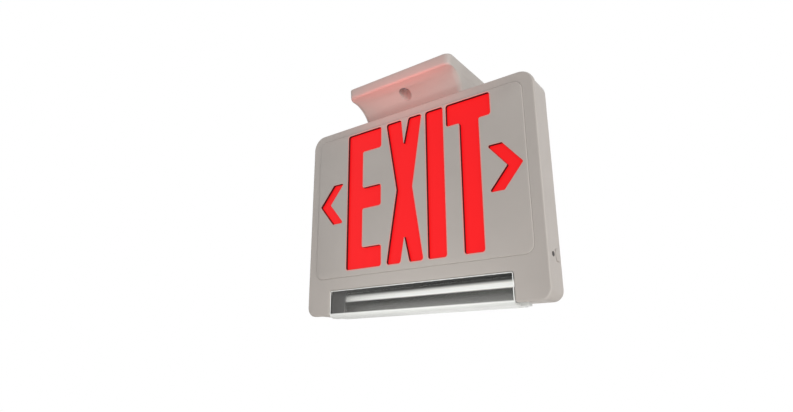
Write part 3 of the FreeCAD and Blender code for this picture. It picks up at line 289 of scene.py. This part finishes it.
def polished():
    """The metallised trough of the light bar, with light and shade painted by depth below its top: painted
    shade on the roof and shoulder, a painted bright reflection of the lamps, glowing too, where its curve
    gathers their light, and a satin lower back with a painted lightening towards the lens. Fine lines run
    along it."""
    made = Finish("polished_reflector", Metallic=0.6, Specular_IOR_Level=0.4, Emission_Strength=0.8)
    _, _, up = made.axes()
    low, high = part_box("lightbar_reflector")
    lines = made.noise(420, 2, stretch=(0.02, 1, 1))
    sway = (made.noise(9, 2, stretch=(1, 0.1, 0.1)) - 0.5) * 0.0010
    fall = (high.z - (up + sway)) / (high.z - low.z)
    # Painted shade and painted reflection: dark tones on the roof and shoulder, bright ones where the lamps'
    # light gathers, lighter again towards the lens.
    grey = [(0.0, 40), (0.12, 52), (0.22, 98), (0.28, 214), (0.33, 246), (0.43, 246), (0.46, 150), (0.49, 78),
            (0.6, 104), (0.75, 134), (1.0, 165)]
    colour = made.ramp(fall, *((place, linear(painted_tone, painted_tone, painted_tone - 2)) for place, painted_tone in grey))
    made.feed("Base Color", made.blend(lines * 0.2, colour, linear(66, 66, 65)))
    made.feed("Roughness", made.between(lines, 0.24, 0.4))
    # Painted glow: the bright reflection also emits light.
    dark, light = (0, 0, 0, 1), (1, 1, 0.985, 1)
    painted_reflection_glow = made.ramp(fall, (0.2, dark), (0.31, light), (0.44, light), (0.48, dark))
    made.feed("Emission Color", made.blend(lines * 0.4, painted_reflection_glow, dark))
    made.grain((lines, 0.000015))
    return made.material


def end_plate():
    """The satin end plates of the trough, with the faint steps of their moulded ribs, whose light and shade
    are painted as pale and dark stripes, and a painted glow of the same colours.
    """
    made = Finish("end_plate", Metallic=0.3, Specular_IOR_Level=0.4, Emission_Strength=0.9)
    _, back, _ = made.axes()
    steps = made.node("ShaderNodeMath", {"operation": "SINE"}, {0: back * (2 * math.pi / 0.0042)})
    # Painted shade: pale and dark stripes for the light and shade on the ribs.
    painted_tone = made.between(steps * 0.5 + 0.5, 0, 1)
    colour = made.blend(painted_tone, linear(176, 174, 170), linear(128, 126, 122))
    made.feed("Base Color", colour)
    # Painted glow: the plates emit their own colour.
    made.feed("Emission Color", colour)
    made.feed("Roughness", made.between(made.noise(300, 2), 0.35, 0.5))
    made.grain((steps, 0.0001))
    return made.material


def lens_edge():
    """The border of the lens, which carries the lamps' light round its window."""
    made = Finish("lens_edge", Roughness=0.25, Emission_Strength=0.12)
    shimmer = made.noise(120, 2)
    made.feed("Base Color", made.blend(shimmer, linear(236, 237, 234), linear(220, 221, 218)))
    made.feed("Emission Color", made.blend(shimmer, (1, 1, 0.98, 1), (0.75, 0.76, 0.75, 1)))
    return made.material


def lit_chip(name, node, glow, body, strength, outward):
    """A lamp chip: a pale body whose face, its last tenth of a millimetre up or down, glows."""
    made = Finish(name, Roughness=0.4, Emission_Strength=strength)
    low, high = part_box(node)
    face = high.z if outward > 0 else low.z
    window = made.step(made.axes()[2], face - outward * 0.0003, face - outward * 0.0001)
    mottle = made.noise(800, 2)
    made.feed("Base Color", made.blend(mottle, body, glow))
    made.feed("Emission Color", made.blend(window * (0.8 + mottle * 0.2), (0, 0, 0, 1), glow))
    return made.material


def printed_board(name, mask, track):
    """A printed board: tracks under a glossy solder mask."""
    made = Finish(name, Specular_IOR_Level=0.5)
    cells = made.node("ShaderNodeTexVoronoi", {"feature": "DISTANCE_TO_EDGE"},
                      {"Vector": made.place(), "Scale": 180.0})
    tracks = made.step(cells, 0.05, 0.07)
    made.feed("Base Color", made.blend(tracks, track, mask))
    made.feed("Roughness", made.between(made.noise(200, 2), 0.25, 0.4))
    made.grain((tracks, 0.00004))
    return made.material


def sleeved(name, pale, shade):
    """Shrink sleeve or tape: a smooth skin with faint wrinkles round it."""
    made = Finish(name, Roughness=0.35)
    wrinkle = made.noise(160, 3, stretch=(0.4, 1, 1))
    made.feed("Base Color", made.blend(wrinkle, pale, shade))
    made.grain((wrinkle, 0.0001))
    return made.material


def dress(finishes, own):
    """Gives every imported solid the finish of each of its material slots, or its own."""
    for name, shown in nodes.items():
        for slot in shown.material_slots:
            slot.material = own.get(name) or finishes[slot.material.name.split(".")[0]]


# ---------------------------------------------------------------- shapes

def solid(name, vertices, faces):
    """A bare mesh object from points and a list of faces."""
    mesh = bpy.data.meshes.new(name)
    mesh.from_pydata(vertices, [], faces)
    made = bpy.data.objects.new(name, mesh)
    bpy.context.collection.objects.link(made)
    return made


def worked(target, *steps):
    """target with each tool added or taken away in turn, as one mesh. The tools go."""
    for operation, tool in steps:
        change = target.modifiers.new(operation, "BOOLEAN")
        change.operation, change.solver, change.object = operation, "EXACT", tool
    mesh = bpy.data.meshes.new_from_object(target.evaluated_get(bpy.context.evaluated_depsgraph_get()))
    target.modifiers.clear()
    target.data = mesh
    for _, tool in steps:
        bpy.data.objects.remove(tool)
    return target


def piece(name, body, finish, vertices, faces, stands_for, smooth):
    """A mesh object from an array of points and a list of faces, riding on a body."""
    return finished(solid(name, vertices, faces), body, finish, stands_for, smooth)


def finished(made, body, finish, stands_for, smooth):
    """A bare mesh object with its finish, riding on a body. Edges sharper than smooth degrees stay crisp."""
    mesh = made.data
    mesh.materials.clear()
    mesh.materials.append(finish)
    mesh.shade_smooth()
    mesh.set_sharp_from_angle(angle=math.radians(smooth))
    if stands_for:
        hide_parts(*stands_for)
    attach(made, body)
    return made


def rounded(corners, radii, steps=7):
    """An anticlockwise outline whose corners are arcs, and the outward direction at each of its points. An
    arc of radius r that turns by t starts r tan(t/2) before its corner, and its middle stands r to the side
    that the outline turns to."""
    corners = np.asarray(corners, float)
    into = corners - np.roll(corners, 1, 0)
    away = np.roll(corners, -1, 0) - corners
    into /= np.linalg.norm(into, axis=1)[:, None]
    away /= np.linalg.norm(away, axis=1)[:, None]
    turn = np.arctan2(into[:, 0] * away[:, 1] - into[:, 1] * away[:, 0], (into * away).sum(1))
    radius = np.broadcast_to(np.asarray(radii, float), turn.shape)
    start = corners - into * (radius * np.tan(np.abs(turn) / 2))[:, None]
    side = np.stack([-into[:, 1], into[:, 0]], 1) * np.sign(turn)[:, None]
    middle = start + side * radius[:, None]
    swept = turn[:, None] * np.linspace(0, 1, steps)
    spoke = -side[:, None, :] * radius[:, None, None]
    x = spoke[..., 0] * np.cos(swept) - spoke[..., 1] * np.sin(swept)
    y = spoke[..., 0] * np.sin(swept) + spoke[..., 1] * np.cos(swept)
    arc = np.stack([x, y], -1)
    outward = arc / radius[:, None, None] * np.sign(turn)[:, None, None]
    return (middle[:, None, :] + arc).reshape(-1, 2), outward.reshape(-1, 2)


def oblong(left, right, low, high, radius, steps=7):
    """A rounded rectangle and its outward directions."""
    return rounded([(left, low), (right, low), (right, high), (left, high)], radius, steps)


def filled(outlines, y, facing):
    """A flat upright face at depth y: the first outline with the others cut out of it, facing -Y or +Y. It is
    the triangulation whose edges are the outlines, less each triangle from whose middle a level line to the
    right crosses the outlines an even number of times."""
    start = np.concatenate(outlines)
    end = np.concatenate([np.roll(outline, -1, 0) for outline in outlines])
    count = np.cumsum([0] + [len(outline) for outline in outlines])
    after = np.concatenate([np.roll(np.arange(a, b), -1) for a, b in zip(count, count[1:])])
    edges = np.stack([np.arange(len(start)), after], 1).tolist()
    corners, _, faces = delaunay_2d_cdt(start.tolist(), edges, [], 1, 1e-8)[:3]
    corners, faces = np.array(corners), np.array(faces)
    x, z = np.split(corners[faces].mean(1), 2, 1)
    (start_x, start_z), (end_x, end_z) = start.T, end.T
    rise = np.where(end_z == start_z, 1, end_z - start_z)
    crossed = ((start_z > z) != (end_z > z)) & (x < start_x + (z - start_z) * (end_x - start_x) / rise)
    faces = faces[crossed.sum(1) % 2 == 1]
    points = np.stack([corners[:, 0], np.full(len(corners), y), corners[:, 1]], 1)
    return points, faces[:, ::-facing].tolist()


def carried(outline, outward, profile, inside_out=False):
    """A wall: a profile carried round an upright outline. Each row of it is the outline moved outwards by an
    offset, at a depth y. Its faces look into the outline, or out of it if inside_out."""
    rows = [np.stack([(outline + outward * np.reshape(offset, (-1, 1)))[:, 0], np.full(len(outline), y),
                      (outline + outward * np.reshape(offset, (-1, 1)))[:, 1]], 1) for offset, y in profile]
    faces = grid_faces(len(rows), len(outline))
    return np.concatenate(rows), (faces[:, ::-1] if inside_out else faces).tolist()


def welded(points, faces, mark):
    """The same shape with points at one place made one, which keeps the mark of the first."""
    points = np.asarray(points, np.float32)
    _, first, same = np.unique(points, axis=0, return_index=True, return_inverse=True)
    return points[first], [same.ravel()[face].tolist() for face in faces], np.asarray(mark)[first]


def joined(parts):
    """Several sets of points and faces as one."""
    points, faces, count = [], [], 0
    for some_points, some_faces in parts:
        points.append(some_points)
        faces += [(np.array(face) + count).tolist() for face in some_faces]
        count += len(some_points)
    return np.concatenate(points), faces


def grid_faces(rows, columns, close_rows=False):
    """Quads of a grid of points stored row by row. Each row is closed round, and each column if asked."""
    row = np.arange(rows if close_rows else rows - 1)
    a, b = np.meshgrid(row, np.arange(columns), indexing="ij")
    after_a, after_b = (a + 1) % rows, (b + 1) % columns
    corners = [a * columns + b, a * columns + after_b, after_a * columns + after_b, after_a * columns + b]
    return np.stack(corners, -1).reshape(-1, 4)


# ---------------------------------------------------------------- legend plate

def legend_outlines():
    """The openings of the legend, in millimetres across and up from the foot of the letters: block letters
    152.4 tall with strokes of about 20, and an arrowhead at each side. Each corner has its radius, and the
    width of the painted red glow round it."""
    tall = 152.4
    e = [(-82, 0), (-36, 0), (-36, 21.5), (-61.3, 21.5), (-61.3, 64.3), (-36.5, 64.3), (-36.5, 87),
         (-61.3, 87), (-61.3, 129.3), (-36, 129.3), (-36, tall), (-82, tall)]
    x = [(-28.5, 0), (-11.8, 0), (-6.6, 27.4), (-0.2, 0), (15.4, 0), (3.5, 76), (16.2, tall), (0.5, tall),
         (-6.4, 123), (-9.4, tall), (-28.4, tall), (-15.4, 76)]
    i = [(21.4, 0), (41.6, 0), (41.6, tall), (21.4, tall)]
    t = [(60.6, 0), (80.7, 0), (80.7, 129.6), (93.3, 129.6), (93.3, tall), (45.7, tall), (45.7, 129.6),
         (60.6, 129.6)]
    arrow = [(122, 75.6), (103, 98), (88.5, 98), (107.5, 75.6), (88.5, 53), (103, 53)]
    other = [(-across, up) for across, up in reversed(arrow)]
    made, steps = [], 5
    for corners in (e, x, i, t, arrow, other):
        radius, lit = (1.2, 0.9) if corners in (arrow, other) else (2.4, 1.6)
        radii, reach = np.full(len(corners), radius), np.full(len(corners), lit)
        if corners is x:
            notches = [2, 8]
            radii[notches], reach[notches] = 0.5, 0.45
        outline, outward = rounded(np.array(corners) * MM, radii * MM, steps)
        made.append((outline, outward, np.repeat(reach, steps) * MM))
    return made


def legend_plate(finish):
    """The stencil plate: a raised panel with the legend cut through it, and the flange that the cover holds.
    Round each opening a strip of the plate is marked for a painted red glow of the sheet behind, and the
    cut walls for painted shade. The panel's rim and the cut edges are eased by quarter rounds."""
    low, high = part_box("stencil_plate")
    glass_low, glass_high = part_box("red_diffuser")
    flange, legend_rise = 3.5 * MM, 7 * MM
    left, right, foot, top = low.x + flange, high.x - flange, low.z + flange, high.z - flange
    front, back, ease = low.y, glass_low.y, 0.35 * MM
    turn = np.linspace(0, np.pi / 2, 5)
    cut_edge = [(ease * (1 - math.sin(t)), front + ease * (1 - math.cos(t))) for t in turn]
    letters = [(line + (0, foot + legend_rise), out, lit) for line, out, lit in legend_outlines()]
    panel_corner, steps = 9 * MM, 14
    panel, panel_out = oblong(left, right, foot, top, panel_corner, steps)
    bevel = 0.9 * MM
    rim = [(-bevel * (1 - math.sin(t)), front + bevel * (1 - math.cos(t))) for t in turn] + [(0, back)]
    parts, marks = [], []
    for line, out, lit in letters:
        parts.append(carried(line, out, [(lit, front), ((lit + ease) / 2, front), *cut_edge, (0, back)]))
        # Marks 0 to 0.75 across the front strip paint the red glow; 1 on the cut walls paints their shade.
        marks.append(np.repeat([0, 0.4, 0.75] + [1] * len(cut_edge), len(line)))
    face = [panel - panel_out * bevel, *(line + out * lit[:, None] for line, out, lit in letters)]
    rear = [panel, *(line for line, _, _ in letters)]
    for part in (filled(face, front, -1), carried(panel, panel_out, rim, True), filled(rear, back, 1)):
        parts.append(part)
        marks.append(np.zeros(len(part[0])))
    web, web_faces = joined(parts)
    points, faces, mark = welded(web, web_faces, np.concatenate(marks))
    room, pocket_corner, flange_corner = 0.2 * MM, 7.5 * MM, 12 * MM
    pocket = oblong(glass_low.x - room, glass_high.x + room, glass_low.z - room, glass_high.z + room,
                    pocket_corner)
    around = oblong(low.x, high.x, low.z, high.z, flange_corner, steps)
    flange_front = high.y - 1 * MM
    thin, deep = [(0, flange_front), (0, high.y)], [(0, back), (0, flange_front)]
    ring = [filled([around[0], pocket[0]], flange_front, -1), filled([around[0], pocket[0]], high.y, 1),
            carried(*around, thin, True), carried(*pocket, thin)]
    border = [filled([panel, pocket[0]], back, -1), filled([panel, pocket[0]], flange_front, 1),
              carried(panel, panel_out, deep, True), carried(*pocket, deep)]
    for part in (ring, border):
        more, more_faces = joined(part)
        more, more_faces, blank = welded(more, more_faces, np.zeros(len(more)))
        (points, faces), mark = joined([(points, faces), (more, more_faces)]), np.concatenate([mark, blank])
    made = piece("legend_plate", "fixture", finish, points, faces, ["stencil_plate"], 25)
    made.data.attributes.new("lit_edge", "FLOAT", "POINT").data.foreach_set("value", mark.astype(np.float32))
    return made


# ---------------------------------------------------------------- light bar

def lens_border(finish):
    """The rounded border of the lens: a half-round bead 0.8 mm wide carried round the window of the cover. It
    stands a little inside the window's edge, and its flat side a little behind the lens's face."""
    low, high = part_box("lightbar_lens")
    half, top, foot = 105 * MM, high.z - 4 * MM, low.z + 2.2 * MM
    foot_corner, top_corner, steps = 0.8, 2, 8
    line, out = rounded([(-half, foot), (half, foot), (half, top), (-half, top)],
                        np.array([foot_corner, foot_corner, top_corner, top_corner]) * MM, steps)
    inset, sunk, radius = -0.2, 0.05, 0.4
    turn = np.linspace(0, np.pi, 9)
    bead = [((inset - radius * (1 - math.cos(t))) * MM, low.y + (sunk - radius * math.sin(t)) * MM)
            for t in turn]
    points, _ = carried(line, out, bead)
    faces = grid_faces(len(bead), len(line), close_rows=True)
    return piece("lens_border", "fixture", finish, points, faces.tolist(), [], 50)


# ---------------------------------------------------------------- canopy

def canopy_levels():
    """The canopy's outer section, from the ceiling down: (depth below the ceiling, half of its depth front to
    back). An upright brim, a quarter round under it, and the hollow cove, an arc round a point below the
    brim."""
    brim, under, half, neck, drop = 8.8, 2.5, 40.0, 10.5, 32.0
    edge = half - under
    start = brim + under
    run, fall = edge - neck, drop - start
    radius = (run ** 2 + fall ** 2) / (2 * fall)
    turn = np.linspace(0, np.pi / 2, 9)
    round_down = np.stack([brim + under * np.sin(turn), edge + under * np.cos(turn)], 1)
    sweep = np.linspace(0, 1, 40)
    reach = math.acos(1 - fall / radius)
    cove = np.stack([start + radius * (1 - np.cos(sweep * reach)), edge - radius * np.sin(sweep * reach)], 1)
    upright = np.array([(0.0, half), (2.0, half), (5.0, half)])
    return np.concatenate([upright, round_down, cove[1:]]) * MM


def canopy_loft(levels, half_long, taper, corner, drop):
    """Points on rounded rectangles, one for each level: half_long less the taper at that depth, by the
    level's own half depth, with corners of one radius."""
    depth, half = levels[:, 0], levels[:, 1]
    long = half_long - taper * depth / drop
    steps = 10
    turn = np.linspace(0, np.pi / 2, steps)
    quarter = np.arange(4) * np.pi / 2
    angle = (quarter[:, None] + turn).ravel()
    sign_x = np.repeat(np.array([1, -1, -1, 1]), steps)
    sign_y = np.repeat(np.array([1, 1, -1, -1]), steps)
    x = sign_x * (long[:, None] - corner) + corner * np.cos(angle)
    y = sign_y * (half[:, None] - corner) + corner * np.sin(angle)
    z = np.broadcast_to(-depth[:, None], x.shape)
    return np.stack([x, y, z], -1)


def canopy(finish):
    """The ceiling canopy: a lofted block with coves, less a hollow that stands a wall inside it and leaves a
    boss round each screw, less the two screw wells and the hole for the stem."""
    levels = canopy_levels()
    wall, floor = 2.5 * MM, 29 * MM
    slope = np.gradient(levels, axis=0)
    slope /= np.linalg.norm(slope, axis=1)[:, None]
    inner = levels + np.stack([slope[:, 1], -slope[:, 0]], 1) * wall
    inner = inner[(inner[:, 0] > 0) & (inner[:, 0] < floor) & (inner[:, 1] > 5 * MM)]
    inner[:, 0] = np.maximum.accumulate(inner[:, 0])
    inner = np.concatenate([[(-1 * MM, inner[0, 1])], inner, [(floor, inner[-1, 1])]])
    drop, taper, corner, hollow_corner = 32 * MM, 2.5 * MM, 6.5 * MM, 3 * MM
    half_long, hollow_long = 64.5 * MM, 59.5 * MM
    block = lofted("canopy_shell", canopy_loft(levels, half_long, taper, corner, drop))
    hollow = lofted("hollow", canopy_loft(inner, hollow_long, 0, hollow_corner, drop))
    boss_radius, boss_top, well_radius, well_top, below = 8.5 * MM, -1.6 * MM, 6.5 * MM, -8 * MM, -45 * MM
    bore_radius, bore_top, bore_foot = 2.25 * MM, 1 * MM, -12 * MM
    stem_radius, stem_top, stem_foot = 5.1 * MM, -20 * MM, -40 * MM
    wells = []
    for side in SCREW_PLACES:
        boss = turned("boss", (0, side), [(boss_radius, boss_top), (boss_radius, below)])
        well = turned("well", (0, side), [(well_radius, well_top), (well_radius, below)])
        bore = turned("bore", (0, side), [(bore_radius, bore_top), (bore_radius, bore_foot)])
        hollow = worked(hollow, ("DIFFERENCE", boss))
        wells += [("DIFFERENCE", well), ("DIFFERENCE", bore)]
    stem = turned("stem_hole", (0, 0), [(stem_radius, stem_top), (stem_radius, stem_foot)])
    shell = worked(block, ("DIFFERENCE", hollow), *wells, ("DIFFERENCE", stem))
    eased = shell.modifiers.new("eased", "BEVEL")
    eased.width, eased.segments = 0.35 * MM, 2
    eased.limit_method, eased.angle_limit = "ANGLE", math.radians(50)
    return finished(worked(shell), "fixture", finish, ["canopy"], 35)


def lofted(name, rings):
    """A closed solid through level rings of points, from the top ring down."""
    count, around = rings.shape[:2]
    faces = grid_faces(count, around)[:, ::-1].tolist()
    ends = [list(range(around)), list(range((count - 1) * around, count * around))[::-1]]
    return solid(name, rings.reshape(-1, 3), faces + ends)


# ---------------------------------------------------------------- canopy screws

def turned(name, centre, profile):
    """A closed solid of revolution about an upright axis: each (radius, height) of the profile carried round
    it."""
    columns = 64
    radius, height = np.array(profile).T
    angle = np.linspace(0, 2 * np.pi, columns, endpoint=False)
    x = centre[0] + radius[:, None] * np.cos(angle)
    y = centre[1] + radius[:, None] * np.sin(angle)
    points = np.stack([x, y, np.broadcast_to(height[:, None], x.shape)], -1).reshape(-1, 3)
    faces = grid_faces(len(radius), columns)
    if height[0] > height[-1]:
        faces = faces[:, ::-1]
    ends = [list(range(columns))[::-1], list(range(len(points) - columns, len(points)))]
    if height[0] > height[-1]:
        ends = [end[::-1] for end in ends]
    return solid(name, points, faces.tolist() + ends)


def canopy_screws(finish):
    """The two pan-head screws that hold the canopy to its plate. The head is a dome, its height falling with
    the square of the radius, less a cross recess with sloping walls; the thread is a radius that rises and
    falls with height / pitch - angle / turn."""
    low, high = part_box("canopy_screws")
    head, shank, seat = high.x, 2 * MM, low.z + 3 * MM
    columns, dome_rows, thread_rows = 72, 26, 84
    angle = np.linspace(0, 2 * np.pi, columns, endpoint=False)
    spread = np.linspace(0.02, 1, dome_rows)
    crown = low.z + 1.1 * MM * spread ** 2
    dome, rim = 0.93, 0.07
    edge = np.linspace(0, np.pi / 2, 6)[1:]
    round_radius = head * dome + head * rim * np.sin(edge)
    round_height = crown[-1] + 0.5 * MM * (1 - np.cos(edge))
    pitch, crest = 0.8 * MM, 0.16 * MM
    reach = np.linspace(seat + 0.3 * MM, high.z - 0.6 * MM, thread_rows)
    radius = np.concatenate([head * dome * spread, round_radius, [head, head * 0.99, shank],
                             np.full(thread_rows, shank), [shank * 0.6]])
    height = np.concatenate([crown, round_height, [seat - 0.2 * MM, seat, seat], reach, [high.z]])
    x, y = radius[:, None] * np.cos(angle), radius[:, None] * np.sin(angle)
    z = np.broadcast_to(height[:, None], x.shape).copy()
    arm, width = np.maximum(np.abs(x), np.abs(y)), np.minimum(np.abs(x), np.abs(y))
    slot_half, slot_long, pit, recess = 0.62 * MM, 2.3 * MM, 1.3 * MM, 1.5 * MM
    slope = np.clip((slot_half - width) / (0.25 * MM), 0, 1) * np.clip((slot_long - arm) / (0.9 * MM), 0, 1)
    deep = np.clip((pit - np.hypot(x, y)) / (0.4 * MM), 0, 1)
    z[:dome_rows] += recess * np.maximum(slope, deep * 0.9)[:dome_rows]
    thread = crest * (np.abs(((reach[:, None] / pitch - angle / (2 * np.pi)) % 1) - 0.5) * 4 - 1)
    rows = slice(len(radius) - thread_rows - 1, len(radius) - 1)
    x[rows] += (thread - crest) * np.cos(angle)
    y[rows] += (thread - crest) * np.sin(angle)
    screw = np.stack([x, y, z], -1).reshape(-1, 3)
    faces = grid_faces(len(radius), columns).tolist()
    ends = [list(range(columns))[::-1], list(range(len(screw) - columns, len(screw)))]
    points, faces = joined([(screw + (0, side, 0), faces + ends) for side in SCREW_PLACES])
    return piece("canopy_screw_pair", "fixture", finish, points, faces, ["canopy_screws"], 40)


# ---------------------------------------------------------------- the whole

def stage():
    """A pale floor well below the light, and white all round for the camera and for gloss."""
    floor = bpy.data.meshes.new("floor")
    half, level = 6.0, -0.9
    corners = [(-half, -half, level), (half, -half, level), (half, half, level), (-half, half, level)]
    floor.from_pydata(corners, [], [(0, 1, 2, 3)])
    made = Finish("floor_paint", Roughness=0.8)
    made.feed("Base Color", made.blend(made.noise(3, 2), linear(236, 235, 232), linear(230, 229, 226)))
    across, back, _ = made.axes()
    far = made.step(across * across + back * back, 1.0, 12.0)
    seen = made.node("ShaderNodeLightPath", out="Is Camera Ray")
    white = made.node("ShaderNodeEmission", {}, {"Color": (1, 1, 1, 1)})
    made.mixed(seen * (far * 0.3 + 0.7), made.surface, white)
    floor.materials.append(made.material)
    slab = bpy.data.objects.new("floor", floor)
    bpy.context.collection.objects.link(slab)

    bpy.context.scene.world = bpy.data.worlds.new("studio")
    sky = Nodes(bpy.context.scene.world)
    rays = sky.node("ShaderNodeLightPath", out=None)
    camera_ray, gloss_ray, through_ray = (Wire(sky, rays.outputs[name]) for name in
                                          ("Is Camera Ray", "Is Glossy Ray", "Is Transmission Ray"))
    soft = sky.node("ShaderNodeBackground", {}, {"Color": (0.99, 0.99, 1, 1), "Strength": 0.34})
    white = sky.node("ShaderNodeBackground", {}, {"Color": (1, 1, 1, 1), "Strength": 1.0})
    pick = sky.node("ShaderNodeMixShader", {}, {0: camera_ray + gloss_ray + through_ray, 1: soft, 2: white})
    sky.node("ShaderNodeOutputWorld", {}, {"Surface": pick}, out=None)


def lamps():
    """Four soft lamps: to the right, in front and to the left, below, and behind. Then the red light that the
    lit legend throws on what stands out above it, and the white light of the bar on its lip and below."""
    middle = (0, 0, -0.14)
    lamp("side_lamp", (1.45, -0.6, 0.05), middle, 0.9, 15)
    lamp("front_lamp", (-1.1, -1.4, 0.3), middle, 1.2, 5)
    lamp("low_lamp", (0.15, -0.1, -0.9), middle, 0.3, 2.6)
    lamp("back_lamp", (-0.5, 1.6, 0.2), middle, 1.2, 14)
    low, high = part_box("red_diffuser")
    at = (0, low.y - 0.012, (low.z + high.z) / 2)
    lamp("legend_glow", at, (0, -1, at[2]), 0.17, 0.1, (1, 0.05, 0.05), 0.14)
    lamp("canopy_glow", (0, -0.058, -0.034), (0, -0.034, 0), 0.13, 0.024, (1, 0.1, 0.08), 0.02)
    led_low, led_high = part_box("lightbar_lamps")
    at = (0, (led_low.y + led_high.y) / 2, led_low.z - 0.0006)
    lamp("bar_spill", (0, -0.075, -0.262), (0, -0.0165, -0.200), 0.19, 0.032, (1, 1, 0.98), 0.02)
    lamp("bar_glow", at, (0, at[1], -1), 0.19, 0.0055, (1, 1, 0.98), 0.003)


camera()
stage()
lamps()

shell_white, shell_shade = linear(184, 177, 171), linear(177, 170, 164)
shell = moulded("housing_plastic", shell_white, shell_shade)
finishes = {
    "housing_plastic": shell,
    "button_plastic": moulded("button_plastic", linear(177, 170, 164), linear(170, 163, 157), 0.4),
    "plated_steel": plated("plated_steel", linear(196, 200, 204), linear(168, 173, 178)),
    "red_diffuser": red_acrylic(),
    "white_tray": moulded("white_tray", linear(238, 238, 236), linear(230, 230, 227), 0.5),
    "led_board": printed_board("led_board", linear(232, 233, 230), linear(214, 216, 214)),
    "red_led": lit_chip("red_led", "legend_lamps", linear(255, 60, 50), linear(226, 196, 190), 2.0, 1),
    "white_led": lit_chip("white_led", "lightbar_lamps", linear(255, 253, 244), linear(120, 118, 112),
                          0.35, -1),
    "clear_lens": clear_lens(),
    "polished_reflector": polished(),
    "battery_sleeve": sleeved("battery_sleeve", linear(44, 92, 150), linear(32, 76, 130)),
    "circuit_board": printed_board("circuit_board", linear(28, 92, 58), linear(44, 118, 76)),
    "core_steel": plated("core_steel", linear(96, 98, 102), linear(70, 72, 76), 0.45),
    "coil_tape": sleeved("coil_tape", linear(222, 190, 92), linear(206, 172, 74)),
    "capacitor_can": sleeved("capacitor_can", linear(34, 36, 44), linear(24, 25, 32)),
    "terminal_plastic": moulded("terminal_plastic", linear(58, 140, 86), linear(48, 124, 74)),
    "switch_plastic": moulded("switch_plastic", linear(44, 44, 46), linear(34, 34, 36)),
    "pilot_lens": moulded("pilot_lens", linear(26, 6, 6), linear(14, 3, 3), 0.3, gloss=0.15),
}
plates = end_plate()
dress(finishes, {"reflector_end_left": plates, "reflector_end_right": plates})
# The stencil plate's plastic, with the painted red glow and painted shade round its openings.
stencil = moulded("stencil_plastic", shell_white, shell_shade, lit=True)
legend_plate(stencil)
canopy(shell)
canopy_screws(finishes["plated_steel"])
lens_border(lens_edge())

bpy.context.scene.view_settings.view_transform = "Standard"
